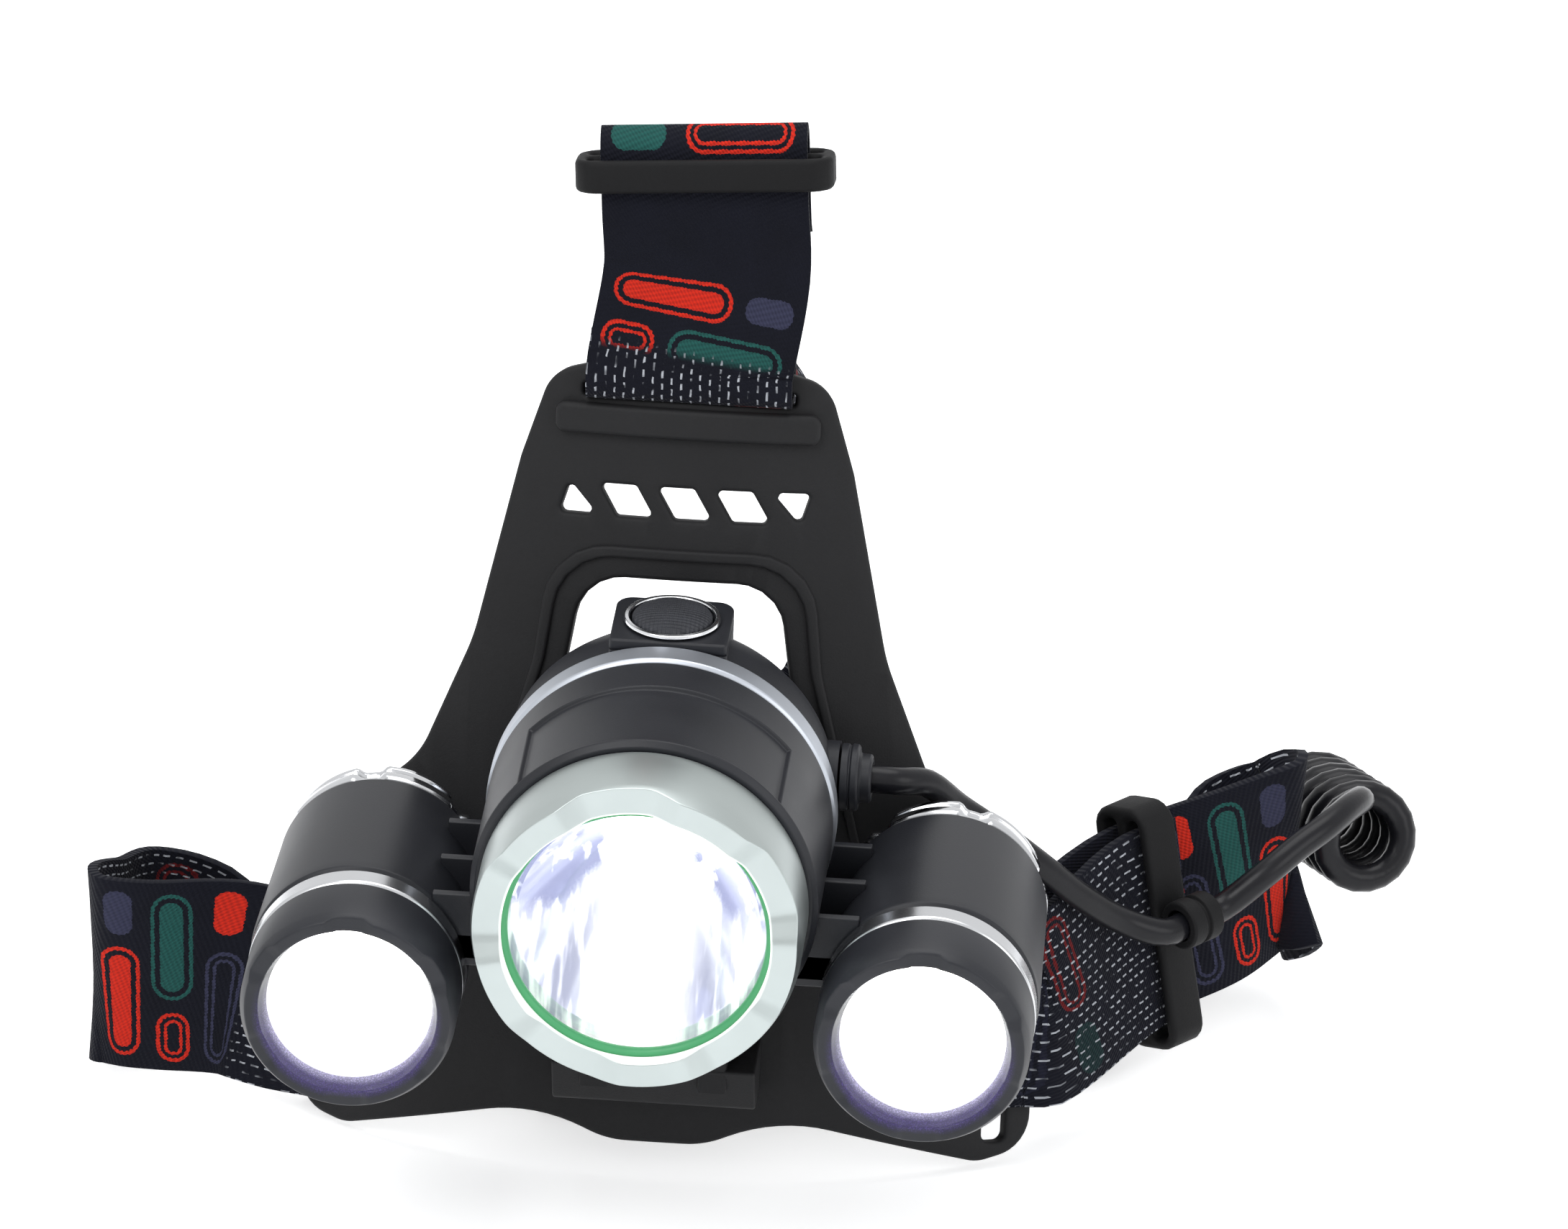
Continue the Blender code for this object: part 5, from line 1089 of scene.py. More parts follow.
def add_strap(name, run, look, finishes):
    """A flat strap of webbing along its run, as a grid that is moved into place and thickened."""
    middles = [Vector(row[:3]) * MM for row in run]
    spans = spans_of(middles)
    path = smooth_values(middles, spans, STRAP_STEPS)
    widths = smooth_values([Vector(row[3:]) for row in run], spans, STRAP_STEPS)
    walked = [0.0]
    for span in spans_of(path):
        walked.append(walked[-1] + span)
    last = len(path) - 1
    bm = bmesh.new()
    bmesh.ops.create_grid(bm, x_segments=last, y_segments=LANES, size=0.5)
    layer = bm.loops.layers.uv.new("webbing")
    for vert in bm.verts:
        i = round((vert.co.x + 0.5) * last)
        share = vert.co.y
        along = (path[min(i + 1, last)] - path[max(i - 1, 0)]).normalized()
        across = (widths[i] - along * widths[i].dot(along)).normalized()
        for loop in vert.link_loops:
            loop[layer].uv = (walked[i], share * look.width)
        vert.co = path[i] + across * share * look.width
    piece = new_piece("dressed_" + name, bm, finishes, STRAP_SHARP)
    wall = piece.modifiers.new("thickness", "SOLIDIFY")
    wall.thickness = look.thickness
    wall.offset = 0.0
    wall.use_even_offset = False
    wall.material_offset = 1
    wall.material_offset_rim = 0
    round_edges(piece, STRAP_EDGE, STRAP_SHARP, False)
    settle(piece, name)
    return piece, walked[-1]


class HEADLAMP_OT_straps(HeadlampOperator):
    """Lays the three printed straps"""

    bl_idname = "headlamp.straps"
    bl_label = "Straps"

    def execute(self, context):
        look = context.scene.headlamp_straps
        for name, run, offset, stitched, turned_over in STRAPS:
            finishes = [
                webbing(name + "_print", look, offset, 1.0, stitched),
                webbing(name + "_reverse", look, offset, REVERSE_PRINT, ALL_ALONG),
            ]
            if turned_over:
                finishes.reverse()
            piece, run_length = add_strap(name, run(), look, finishes)
        return {"FINISHED"}


# Main lamp: profiles as radius and depth behind the front of the lamp, in millimetres

MAIN_BEZEL = [
    (23.2, 13.0), (23.2, 2.8), (22.6, 0), (19.2, 0), (18.9, 0.3), (18.9, 2.2), (20.2, 2.2),
    (20.2, 13.0),
]
MAIN_LOBES = {
    "lobes": 5, "radius": 23.2 * MM, "chamfer": (0.6 * MM, 2.8 * MM), "valley": (13, 23),
    "turn": math.radians(-8),
}
MAIN_HOUSING = [
    (24.5, 38.7), (24.5, 31.3), (24.5, 14.5), (24.5, 14.1), (23.7, 13.3), (19.9, 13.3),
    (19.9, 7.7), (18.3, 7.7), (18.3, 15.8), (22.0, 15.8), (22.0, 38.7),
]
HEAT_SINK = [
    (0, 43.8), (24.3, 43.8), (24.8, 43.3), (24.8, 39.5), (24.3, 39.0), (11.0, 39.0), (11.0, 28.4),
    (0, 28.4),
]
SEAL_MIDDLE = (18.95, 3.30)
SEAL_RADIUS = 0.88
LED_STEPS = 48
BOWL_STEPS = 16
BOWL_WALL = 0.9
FLANGE = 1.2
GLASS_EDGE = 0.3
HOUSING_SKIN = 24.2 * MM
PANEL_FRONT = 14.5 * MM
PANEL_REAR = 31.3 * MM
PANEL_HALF_ANGLE = math.radians(49)
PANEL_LIP = 0.3 * MM
PANEL_DEPTH = 0.6 * MM


def behind(axis, depth):
    """A placing matrix at a depth behind the front of a lamp."""
    return at(axis + Vector((0, depth, 0)))


def off_middle(vert, count):
    """Degrees between a point and the middle of the nearest of some equal parts of a turn."""
    period = 2 * math.pi / count
    swing = math.atan2(vert.co.x, vert.co.z)
    return math.degrees(abs((swing + period / 2) % period - period / 2))


def lobed(bm, lobes, depth, radius, chamfer, valley, turn=0.0):
    """Presses valleys into the front edge of a turned bezel, with slanted sides to the lobes.

    The chamfer is its width and depth, and a valley's floor and mouth are half angles in degrees.
    """
    width, fall = chamfer
    floor, mouth = valley
    for vert in bm.verts:
        off = off_middle(vert, lobes)
        low = depth * max(0.0, min(1.0, (mouth - off) / (mouth - floor)))
        if vert.co.y < low:
            reach = math.hypot(vert.co.x, vert.co.z)
            if reach > radius - width * 1.01:
                scale = (radius - width * (1 - low / fall)) / reach
                vert.co.x *= scale
                vert.co.z *= scale
            vert.co.y = low
    return moved(bm, Matrix.Rotation(turn, 4, "Y"))


def bowl(mouth, throat, depth, flange, steps):
    """A parabolic reflector behind a flat flange."""
    radii = [throat + (mouth - throat) * k / BOWL_STEPS for k in range(BOWL_STEPS + 1)]
    inside = [(r, depth * (mouth**2 - r**2) / (mouth**2 - throat**2)) for r in radii]
    back = [(r + BOWL_WALL, d) for r, d in inside if d > FLANGE] + [(mouth + BOWL_WALL, FLANGE)]
    return turned(back + [(flange, FLANGE), (flange, 0)] + inside[::-1], steps)


def emitter(board, dome):
    """A round board with a domed emitter on its front."""
    swings = [math.pi / 16 * k for k in range(8)]
    profile = [(0, 1.6), (board, 1.6), (board, 0)]
    profile += [(dome * math.cos(a), -dome * math.sin(a)) for a in swings] + [(0, -dome)]
    return turned(profile, LED_STEPS)


def glass_disc(radius, start, thickness, steps):
    end, inner = start + thickness, radius - GLASS_EDGE
    return turned([
        (0, end), (inner, end), (radius, end - GLASS_EDGE), (radius, start + GLASS_EDGE),
        (inner, start), (0, start),
    ], steps)


def pressed_panel(bm):
    """Sinks a panel into the top of the housing, inside a thin lip."""
    faces = []
    for face in bm.faces:
        x, y, z = face.calc_center_median()
        outer = math.hypot(x, z) > HOUSING_SKIN
        if outer and PANEL_FRONT < y < PANEL_REAR and abs(math.atan2(x, z)) < PANEL_HALF_ANGLE:
            faces.append(face)
    bmesh.ops.inset_region(bm, faces=faces, thickness=PANEL_LIP, depth=-PANEL_DEPTH,
                           use_even_offset=True, use_boundary=True)
    return bm


class HEADLAMP_OT_main_lamp(HeadlampOperator):
    """Builds the main lamp: bezel, seal, lens, reflector, emitter, housing and heat sink ring"""

    bl_idname = "headlamp.main_lamp"
    bl_label = "Main Lamp"

    def execute(self, context):
        look = context.scene.headlamp_lamps
        steps = look.round_steps
        place = at(LAMP)
        bezel = lobed(turned(MAIN_BEZEL, steps), depth=look.lobe_depth, **MAIN_LOBES)
        silver = lit_silver("satin_silver", look.silver, LAMP, 19.0 * MM)
        dress("main_bezel", moved(bezel, place), silver, look.edge, sharp=18)

        seal = turned(circle(SEAL_MIDDLE, SEAL_RADIUS, 16), steps)
        dress("lens_seal", moved(seal, place), lit_seal("glowing_seal", look.seal))
        lens = glass_disc(19.9, 4.3, 1.6, steps)
        dress("main_lens", moved(lens, place), clear_glass("lens_glass"))
        mirror = lit_mirror("main_mirror", LAMP, 17.1 * MM, look.glow, 1.0)
        reflector = bowl(17.1, 3.6, 20.0, 19.9, steps)
        dress("main_reflector", moved(reflector, behind(LAMP, MIRROR_DEPTH)), mirror)
        glow = lit_emitter("main_emitter", look.glow)
        dress("main_led", moved(emitter(10.0, 2.6), behind(LAMP, 26.5 * MM)), glow)

        housing = pressed_panel(turned(MAIN_HOUSING, steps))
        black = moulded_black("housing_black", look.black, 0.36)
        dress("main_housing", moved(housing, place), black, look.edge)
        sink = turned(HEAT_SINK, steps)
        grey = satin_metal("grey_sink", look.grey, 0.34)
        dress("heat_sink_ring", moved(sink, place), grey, look.edge)
        return {"FINISHED"}


# Rear cap: outlines and profiles in millimetres

REAR_CAP = [
    (0, 59.7), (18, 59.7), (19.6, 59.3), (20.6, 58.4), (22.4, 55.2), (23.45, 52.6), (23.85, 49.5),
    (24, 44.6), (23.5, 44.1), (0, 44.1),
]
BOSS = [(8.35, 44.1, 0.6), (8.35, 58.5, 2.4), (-8.35, 58.5, 2.4), (-8.35, 44.1, 0.6)]
LUG = [
    (44.1, -19.2, 0), (48.3, -19.2, 0), (48.9, -38.4, 5.18), (38.1, -38.4, 5.18),
    (38.1, -27.6, 5.18), (44.1, -27.6, 0),
]
HINGE_ARC_STEPS = 10
HINGE_MIDDLE = (43.5, -33.0)
HINGE_BORE = 2.3
BUTTON_DEPTH = 51.3
GLAND_SEAT = [(0, 24.3), (5.1, 24.3), (5.1, 14), (0, 14)]
BUTTON_RING = [(6.9, 0.15), (6.75, 0.5), (6.15, 0.5), (6.0, 0.3), (6.0, 0), (6.9, 0)]
BUTTON_SKIRT = [(0, -0.9), (6.8, -0.9), (6.8, 0), (5.7, 0)]
BUTTON_DOME = [
    (5.7 * math.cos(a), 2.5 + 1.7 * math.sin(a)) for a in (math.pi / 28 * k for k in range(14))
]
BUTTON_TOP = (0, 4.2)
GLAND = [
    (2.3, 4.4), (3.2, 4.4), (3.5, 4.1), (3.5, 2.9), (3.8, 2.6), (4.4, 2.6), (4.8, 2.3), (4.8, 1.5),
    (4.55, 1.35), (4.55, 1.15), (4.8, 1.0), (4.8, 0), (2.3, 0),
]
SMALL_STEPS = 72
STANDING = Matrix.Rotation(math.pi / 2, 4, "X")
TO_THE_RIGHT = Matrix.Rotation(-math.pi / 2, 4, "Z")


class HEADLAMP_OT_rear_cap(HeadlampOperator):
    """Builds the rear cap with its boss, button, ring, hinge lug and cable gland"""

    bl_idname = "headlamp.rear_cap"
    bl_label = "Rear Cap"

    def execute(self, context):
        look = context.scene.headlamp_lamps
        boss = fillet(BOSS)
        button = (0, BUTTON_DEPTH)
        crown = slab([boss, circle(button, 6.0)], 23.2, 25.0, 0.5, UPRIGHT)
        well = slab([boss, circle(button, 7.1)], 9.0, 23.3, 0.1, UPRIGHT)
        lug = [fillet(LUG, HINGE_ARC_STEPS), circle(HINGE_MIDDLE, HINGE_BORE)]
        tongue = slab(lug, -6.0, 6.0, 0.5, SIDEWAYS)
        seat = moved(turned(GLAND_SEAT, 64), at(Vector((0, 50.5, 2.5)) * MM, TO_THE_RIGHT))
        cap = joined(turned(REAR_CAP, look.round_steps), crown, well, tongue, seat)
        black = moulded_black("cap_black", look.black, 0.40)
        dress("rear_cap", moved(cap, at(LAMP)), black, 0.35 * MM)

        chrome = satin_metal("bright_chrome", shade(look.chrome, 1.3), 0.07)
        place = at(in_lamp(0, BUTTON_DEPTH, 25.3), STANDING)
        dress("button_ring", moved(turned(BUTTON_RING, 96), place), chrome, 0.1 * MM)
        button = turned(BUTTON_SKIRT + BUTTON_DOME + [BUTTON_TOP], SMALL_STEPS)
        place = at(in_lamp(0, BUTTON_DEPTH, 22.9), STANDING)
        grip = button_grip("button_grip", look.black)
        dress("power_button", moved(button, place), grip, 0.15 * MM)

        black = moulded_black("gland_black", look.black, 0.38)
        places = {"lamp_gland": at(GLAND_MOUTH, TO_THE_RIGHT), "case_gland": at(CASE_GLAND_MOUTH)}
        for node, place in places.items():
            dress(node, moved(turned(GLAND, SMALL_STEPS), place), black, 0.15 * MM)
        paint("switch_board", plain_finish("green_board", (0.03, 0.16, 0.07), 0.45))
        paint("tact_switch", plain_finish("switch_steel", (0.5, 0.5, 0.52), 0.3, 1.0))
        return {"FINISHED"}


# Side lamps: profiles as radius and depth behind the front of the lamp, in millimetres

SIDE_BEZEL = [
    (15.2, 10.5), (15.2, 1.6), (14.4, 0), (13.4, 0), (12.6, 0.4), (11.6, 3.6), (13.4, 3.6),
    (13.4, 10.5),
]
SIDE_LOBES = {
    "lobes": 6, "radius": 15.2 * MM, "chamfer": (0.8 * MM, 1.6 * MM), "valley": (8, 14),
}
TRIM_RING = [
    (13.4, 14.8), (14.9, 14.8), (15.25, 14.4), (15.25, 11.2), (14.9, 10.8), (13.4, 10.8),
]
BARREL = [
    (14.4, 45.1), (15.4, 17.3), (15.3, 15.6), (14.6, 15.1), (13.1, 15.1), (13.1, 7.1), (12.3, 7.1),
    (12.3, 17.8), (0, 17.8), (0, 20.8), (12.2, 20.8), (12.2, 45.1),
]
SIDE_CAP = [
    (0, 51.6), (12.4, 51.6), (13.3, 51.2), (13.8, 50.5), (13.8, 49.8), (13.1, 49.3), (12.8, 48.9),
    (13.1, 48.6), (14.1, 48.0), (14.4, 47.4), (14.4, 46.2), (13.9, 45.4), (11.9, 45.4),
    (11.9, 40.4), (0, 40.4),
]
CAP_GROOVES = [(48.9 * MM, 0.7 * MM), (45.4 * MM, 0.5 * MM), (51.4 * MM, 0.3 * MM)]
CAP_TURNS = {"left_lamp": math.radians(-8), "right_lamp": math.radians(15)}
SCALLOPS = 6
SCALLOP_DEPTH = 1.0 * MM
SCALLOP_FRONT = 45.2 * MM
SCALLOP_HUB = 9 * MM
SCALLOP_HALF_ANGLE = 9
SCALLOP_SLOPE = 4
WEB_ACROSS = (20.5, 30.0)
WEB_FRONT = 17.1
WEB_REAR = 41.1
RIB_FRONTS = (17.1, 28.4, 39.7)
RIB_WIDTH = 1.4


def scalloped(bm):
    """Presses scallops into the ridges of a turned cap."""
    for vert in bm.verts:
        radius = math.hypot(vert.co.x, vert.co.z)
        if vert.co.y < SCALLOP_FRONT or radius < SCALLOP_HUB:
            continue
        off = off_middle(vert, SCALLOPS)
        dip = SCALLOP_DEPTH * max(0.0, min(1.0, (SCALLOP_HALF_ANGLE - off) / SCALLOP_SLOPE))
        vert.co.x *= 1 - dip / radius
        vert.co.z *= 1 - dip / radius
    return bm


def web_blocks(side):
    """The ladder between a barrel and the main housing: a floor and three ribs."""
    low, high = sorted(side * across for across in WEB_ACROSS)
    outline = scaled(rectangle((low, WEB_FRONT), (high, WEB_REAR), 0.4))
    floor = block(outline, -14.0 * MM, -9.0 * MM, 0.3 * MM)
    ribs = []
    for front in RIB_FRONTS:
        outline = scaled(rectangle((low, front), (high, front + RIB_WIDTH), 0.2))
        ribs.append(block(outline, -13.0 * MM, -3.0 * MM, 0.25 * MM))
    return joined(floor, *ribs)


class HEADLAMP_OT_side_lamps(HeadlampOperator):
    """Builds both side lamps with their barrels and webs"""

    bl_idname = "headlamp.side_lamps"
    bl_label = "Side Lamps"

    def execute(self, context):
        look = context.scene.headlamp_lamps
        steps = look.round_steps
        glass = clear_glass("side_glass")
        front = SIDE_LAMPS["left_lamp"].y
        chrome = ridged_chrome("cap_chrome", look.chrome, front, CAP_GROOVES)
        trim = satin_metal("trim_silver", look.chrome, 0.16, 0.002 * MM)
        black = moulded_black("barrel_black", look.black, 0.34)
        glow = lit_emitter("side_emitter", look.glow)
        for name, axis in SIDE_LAMPS.items():
            place = at(axis)
            bezel = lobed(turned(SIDE_BEZEL, steps), depth=look.side_lobe_depth, **SIDE_LOBES)
            skin = lit_bezel(name + "_bezel_black", look.black, axis, 12.6 * MM, look.fringe)
            dress(name + "_bezel", moved(bezel, place), skin, look.edge)
            dress(name + "_lens", moved(glass_disc(13.1, 3.9, 1.4, steps), place), glass)
            mirror = lit_mirror(name + "_mirror", axis, 11.1 * MM, look.glow)
            reflector = bowl(11.1, 2.8, 10.0, 13.1, steps)
            dress(name + "_reflector", moved(reflector, behind(axis, 5.6 * MM)), mirror)
            dress(name + "_led", moved(emitter(6.0, 1.8), behind(axis, 15.9 * MM)), glow)
            dress(name + "_trim_ring", moved(turned(TRIM_RING, steps), place), trim, look.edge)
            web = moved(web_blocks(math.copysign(1, axis.x)), at(LAMP))
            barrel = joined(moved(turned(BARREL, steps), place), web)
            dress(name + "_barrel", barrel, black, look.edge)
            turn = Matrix.Rotation(CAP_TURNS[name], 4, "Y")
            cap = moved(scalloped(turned(SIDE_CAP, steps)), turn)
            dress(name + "_rear_cap", moved(cap, place), chrome, 0.2 * MM)
        return {"FINISHED"}


# Plate and hinge: corners across, up and radius, in millimetres

PLATE_DEPTH = 58.0 * MM
PLATE_THICKNESS = 2.4 * MM
PLATE_LEAN = math.radians(14)
PLATE_RISE = (0, math.sin(PLATE_LEAN), math.cos(PLATE_LEAN))
PLATE_BEND = 105.0 * MM
BEND_CUTS = 23
BEND_PITCH = 2.5 * MM
PLATE_HALF = [
    (0, 56.6, 0), (12.6, 56.6, 2), (20, 54.5, 6), (24, 42, 12), (30, 15, 30), (37.5, -3, 14),
    (55.2, -18, 6), (55.2, -56.6, 6), (47.2, -58.6, 6), (17.5, -51.9, 24), (7, -56.2, 14),
]
SLAT_PITCH = 8.3
SLAT = ((-4.1, 39), (1.3, 39), (4.1, 34.4), (-1.3, 34.4))
END_SLATS = [[(12.4, 39), (18, 39), (16.6, 34.4)], [(-12.4, 34.4), (-18, 34.4), (-16.6, 39)]]
SLAT_CORNER = 0.7
TOP_SLOT = ((-15.2, 51.5), (15.2, 53.4), 0.6)
WING_SLOTS = (-49.5, 49.5)
WING_SLOT_HALF = 1.8
SLOT_BAR = ((-18.75, 46.2), (18.75, 50.6), 1.47)
EAR = [(37.9, -27.4, 5.3), (52.4, -27.4, 0), (48.6, -42.6, 0), (37.9, -42.6, 0)]
EAR_SIDES = (-10.5, 6.3)
EAR_WIDTH = 4.2
FOOT = [(37.6, -38.9, 0.4), (49.5, -38.9, 0), (47.5, -46.6, 0), (40.9, -46.6, 1.5)]
FOOT_HALF = 14.5 * MM
ACROSS = ((0, 1, 0), (0, 0, 1), (1, 0, 0))


def on_plate(across, up, back):
    """A point of the plate from its flat coordinates, in metres."""
    turn = across / PLATE_BEND
    radius = PLATE_BEND - back
    depth = PLATE_BEND - radius * math.cos(turn)
    lean = Matrix.Rotation(-PLATE_LEAN, 3, "X")
    flat = Vector((radius * math.sin(turn), depth, up))
    return LAMP + lean @ flat + Vector((0, PLATE_DEPTH, 0))


def bent(bm):
    """Slices a flat sheet and bends it to the forehead."""
    for k in range(-BEND_CUTS, BEND_CUTS + 1):
        geom = [*bm.verts, *bm.edges, *bm.faces]
        bmesh.ops.bisect_plane(bm, geom=geom, plane_co=(k * BEND_PITCH, 0, 0),
                               plane_no=(1, 0, 0), dist=MERGE / 10)
    for vert in bm.verts:
        x, y, z = vert.co
        vert.co = on_plate(x, z, y)
    return bm


def raised(outlines, thickness, edge):
    """A bent rim or bar that stands out from the front of the plate by half its thickness."""
    flat = sheet(outlines, thickness, edge)
    return bent(moved(flat, Matrix.Translation((0, -thickness / 2, 0))))


def mirrored(half):
    """A whole outline from its right half, listed from the top middle to the bottom middle."""
    return half + [(-x, z, r) for x, z, r in reversed(half) if x > 0]


def opening(grow):
    """The plate's opening, or a larger outline round it."""
    top, foot = 25.6 + grow, -27 - grow
    return fillet(mirrored([
        (0, top, 0), (14 + grow, top, 7 + grow / 2), (16 + grow, 13, 12), (28 + grow, foot, 8),
        (0, foot, 0),
    ]))


def plate_outlines():
    slats = [[(x + k * SLAT_PITCH, z) for x, z in SLAT] for k in (-1, 0, 1)] + END_SLATS
    holes = [opening(0.0)]
    holes += [fillet([(x, z, SLAT_CORNER) for x, z in slat]) for slat in slats]
    holes.append(rectangle(*TOP_SLOT))
    for middle in WING_SLOTS:
        low, high = middle - WING_SLOT_HALF, middle + WING_SLOT_HALF
        holes.append(rectangle((low, -55.7), (high, -20.5), 1.2))
    return [fillet(mirrored(PLATE_HALF), 8)] + holes


class HEADLAMP_OT_plate(HeadlampOperator):
    """Builds the bent forehead plate with its rim, slot bar and hinge ears, and the hinge pin"""

    bl_idname = "headlamp.plate"
    bl_label = "Forehead Plate"

    def execute(self, context):
        look = context.scene.headlamp_lamps
        plate = bent(sheet(plate_outlines(), PLATE_THICKNESS, look.plate_edge))
        rim = raised([opening(4.6), opening(3.0)], 1.6 * MM, 0.4 * MM)
        bar = raised([rectangle(*SLOT_BAR)], 3.2 * MM, 0.7 * MM)
        ear = [fillet(EAR, HINGE_ARC_STEPS), circle(HINGE_MIDDLE, HINGE_BORE)]
        hinge = [slab(ear, low, low + EAR_WIDTH, 0.5, SIDEWAYS) for low in EAR_SIDES]
        hinge.append(block(scaled(fillet(FOOT)), -FOOT_HALF, FOOT_HALF, 0.5 * MM, ACROSS))
        hinge = [moved(shape, at(LAMP)) for shape in hinge]
        rubber = moulded_rubber("plate_rubber_skin", look.rubber)
        dress("forehead_plate", joined(plate, rim, bar, *hinge), rubber)
        steel = satin_metal("pin_steel", (0.55, 0.55, 0.57), 0.25)
        for node in ("hinge_pin", "hinge_nut"):
            dress(node, copy_of(node), steel, 0.2 * MM)
        return {"FINISHED"}


# Adjusters and cord clip

ADJUSTER = ((-18.3, -5.3), (18.3, 5.3), 3.4)
ADJUSTER_SLOTS = (-3.5, 0.9)
ADJUSTER_SLOT_HALF = 16.4
ADJUSTER_SLOT_WIDTH = 2.6
TOP_ADJUSTER = Vector((0.8, -14.6, 142.4)) * MM
TOP_ADJUSTER_TURN = math.radians(4)
SIDE_ADJUSTER = Vector((67.4, -11.0, 26.4)) * MM
CLIP_PROFILE = [
    (2.3, 3), (3.3, 3), (3.6, 2.7), (3.6, 0.5), (3.1, 0.25), (3.1, -0.25), (3.6, -0.5),
    (3.6, -2.7), (3.3, -3), (2.3, -3),
]


def adjuster(height):
    """A strap adjuster with two slots, its bars along X and the straps passing along Y."""
    outlines = [rectangle(*ADJUSTER)]
    for low in ADJUSTER_SLOTS:
        corner = (ADJUSTER_SLOT_HALF, low + ADJUSTER_SLOT_WIDTH)
        outlines.append(rectangle((-ADJUSTER_SLOT_HALF, low), corner, 0.9))
    bm = sheet(outlines, height * MM, 0.75 * MM)
    return moved(bm, Matrix.Translation((0, -height / 2 * MM, 0)))


def facing(x, y, origin):
    """A placing matrix with the given X and Y directions."""
    x, y = Vector(x).normalized(), Vector(y).normalized()
    turn = Matrix((x, y, x.cross(y))).transposed().to_4x4()
    return Matrix.Translation(origin) @ turn


class HEADLAMP_OT_adjusters(HeadlampOperator):
    """Builds the top and side strap adjusters and the cord clip"""

    bl_idname = "headlamp.adjusters"
    bl_label = "Adjusters"

    def execute(self, context):
        look = context.scene.headlamp_lamps
        rubber = moulded_rubber("adjuster_rubber", shade(look.rubber, 0.6), 0.14)
        turn = Matrix.Rotation(TOP_ADJUSTER_TURN, 4, "Z")
        place = facing((1, 0, 0), PLATE_RISE, TOP_ADJUSTER) @ turn
        dress("top_adjuster", moved(adjuster(4.7), place), rubber)
        place = facing(CLIP_UP, CLIP_RUN, SIDE_ADJUSTER)
        dress("side_adjuster", moved(adjuster(6.2), place), rubber)
        place = facing(CLIP_UP, CLIP_RUN, CLIP)
        dress("cord_clip", moved(turned(CLIP_PROFILE, SMALL_STEPS), place), rubber, 0.15 * MM)
        return {"FINISHED"}


# Battery case

COVER_MARGIN = 4.0 * MM
COVER_RECESS = 0.5 * MM
GRIP_RIBS = 6
GRIP_PITCH = 3.2 * MM
GRIP_HALF = 12.0 * MM


def gripped_cover():
    """The cover with a sunken panel on its top and a row of grip ribs in it."""
    bm = copy_of("battery_cover")
    upper = [face for face in bm.faces if face.normal.z > 0.9]
    top = max(upper, key=lambda face: face.calc_area())
    height = top.calc_center_median().z
    bmesh.ops.inset_region(bm, faces=[top], thickness=COVER_MARGIN, depth=-COVER_RECESS,
                           use_even_offset=True, use_boundary=True)
    low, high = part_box("battery_cover")
    middle = (low.x + high.x) / 2
    front = low.y + COVER_MARGIN + GRIP_PITCH
    ribs = []
    for k in range(GRIP_RIBS):
        near = front + k * GRIP_PITCH
        corner = (middle + GRIP_HALF, near + GRIP_PITCH / 2)
        outline = rectangle((middle - GRIP_HALF, near), corner, 0.6 * MM)
        ribs.append(block(outline, height - 2 * COVER_RECESS, height, 0.3 * MM))
    return joined(bm, *ribs)


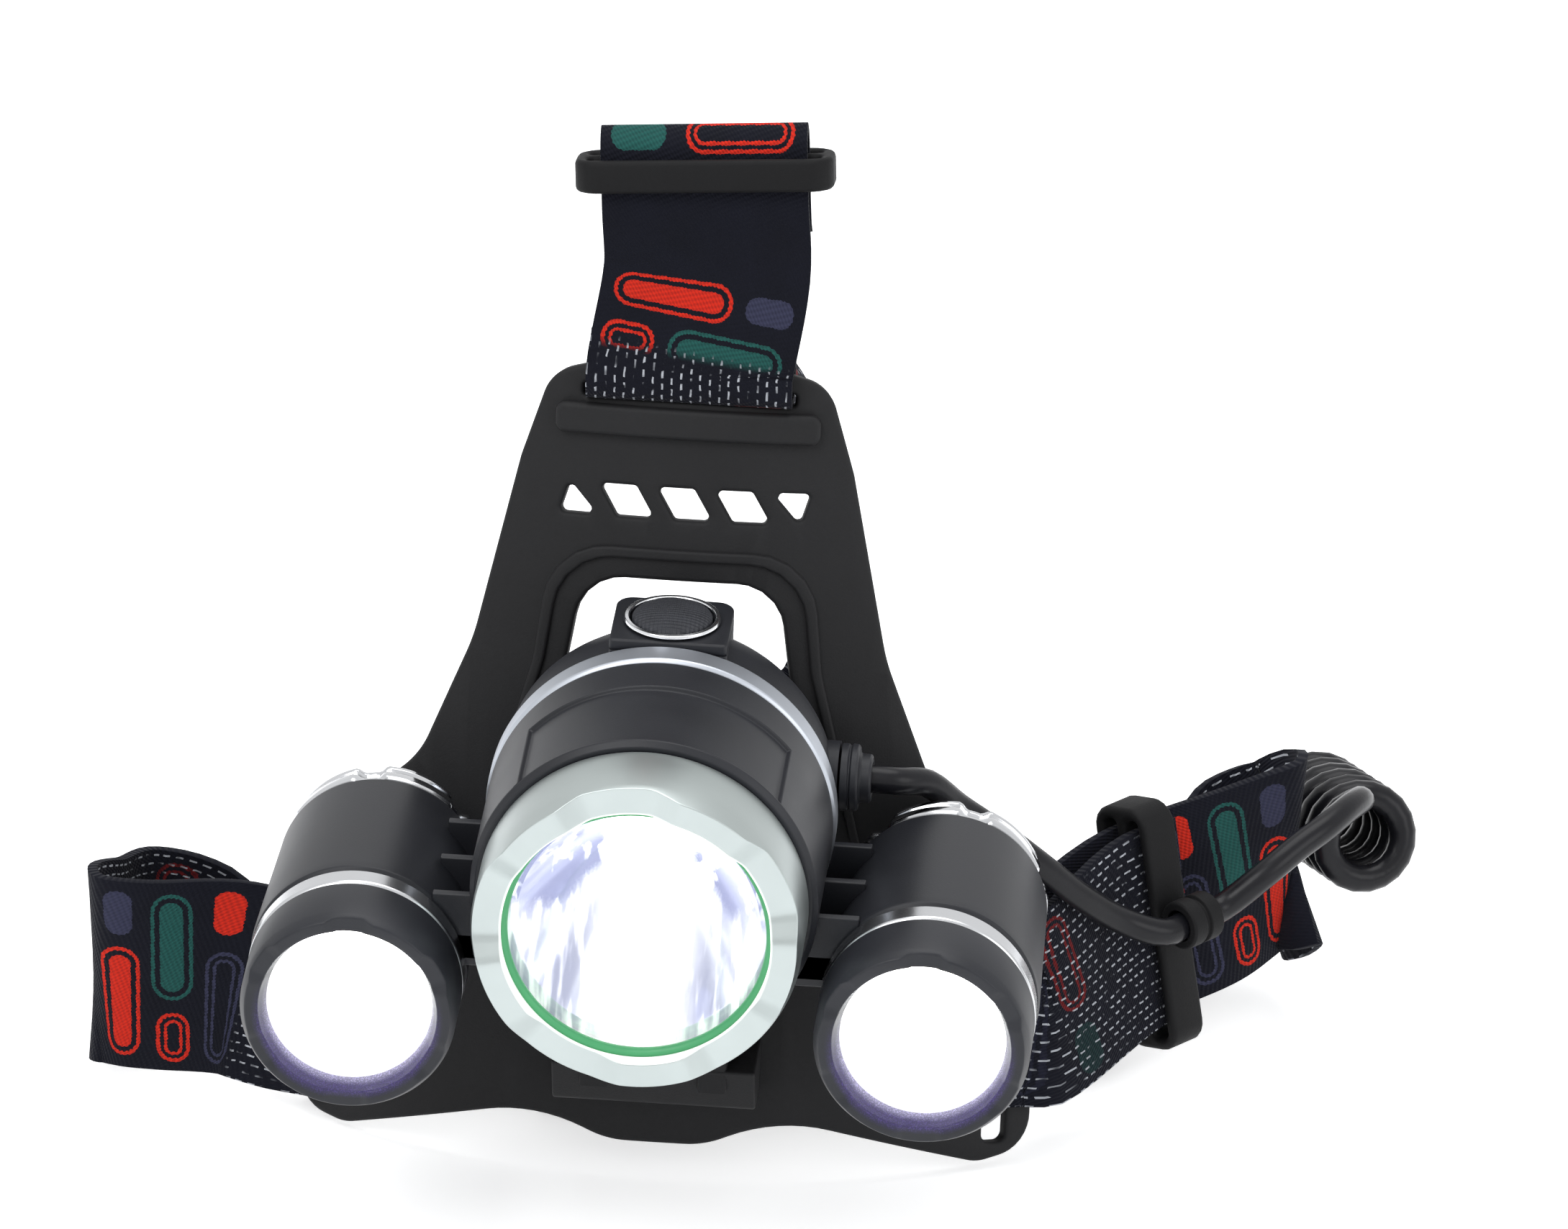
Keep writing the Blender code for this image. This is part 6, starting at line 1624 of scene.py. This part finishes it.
class HEADLAMP_OT_battery_case(HeadlampOperator):
    """Finishes the battery case, its cover and what lies inside"""

    bl_idname = "headlamp.battery_case"
    bl_label = "Battery Case"

    def execute(self, context):
        look = context.scene.headlamp_lamps
        black = moulded_black("case_black", look.black, 0.45, 0.02 * MM)
        dress("battery_case", copy_of("battery_case"), black, 0.4 * MM)
        dress("battery_cover", gripped_cover(), black, 0.3 * MM)
        steel = satin_metal("contact_steel", (0.6, 0.6, 0.62), 0.22)
        wrap = plain_finish("cell_wrap_blue", (0.03, 0.09, 0.28), 0.32)
        dress("cover_pin", copy_of("cover_pin"), steel, 0.1 * MM)
        for row in ("front", "rear"):
            paint(row + "_cell", wrap)
            for part in ("_spring", "_spring_contact", "_tip_contact"):
                paint(row + part, steel)
        return {"FINISHED"}


OPERATORS = (
    HEADLAMP_OT_stage,
    HEADLAMP_OT_cords,
    HEADLAMP_OT_straps,
    HEADLAMP_OT_main_lamp,
    HEADLAMP_OT_rear_cap,
    HEADLAMP_OT_side_lamps,
    HEADLAMP_OT_plate,
    HEADLAMP_OT_adjusters,
    HEADLAMP_OT_battery_case,
)
SETTINGS = {
    "headlamp_lamps": HeadlampLampSettings,
    "headlamp_straps": HeadlampStrapSettings,
    "headlamp_stage": HeadlampStageSettings,
}


class HEADLAMP_PT_panel(bpy.types.Panel):
    """Lists the pieces of the headlamp"""

    bl_idname = "HEADLAMP_PT_panel"
    bl_label = "Headlamp"
    bl_space_type = "VIEW_3D"
    bl_region_type = "UI"
    bl_category = "Headlamp"

    def draw(self, context):
        column = self.layout.column()
        for operator in OPERATORS:
            column.operator(operator.bl_idname)
        for group in SETTINGS:
            settings = getattr(context.scene, group)
            box = self.layout.box()
            for name in settings.__annotations__:
                box.prop(settings, name)


CLASSES = (*SETTINGS.values(), *OPERATORS, HEADLAMP_PT_panel)


def register():
    for item in CLASSES:
        bpy.utils.register_class(item)
    for name, group in SETTINGS.items():
        setattr(bpy.types.Scene, name, PointerProperty(type=group))


def unregister():
    for name in SETTINGS:
        delattr(bpy.types.Scene, name)
    for item in reversed(CLASSES):
        bpy.utils.unregister_class(item)


def main():
    register()
    bpy.ops.headlamp.stage()
    bpy.ops.headlamp.cords()
    bpy.ops.headlamp.straps()
    bpy.ops.headlamp.main_lamp()
    bpy.ops.headlamp.rear_cap()
    bpy.ops.headlamp.side_lamps()
    bpy.ops.headlamp.plate()
    bpy.ops.headlamp.adjusters()
    bpy.ops.headlamp.battery_case()


if __name__ == "__main__":
    main()
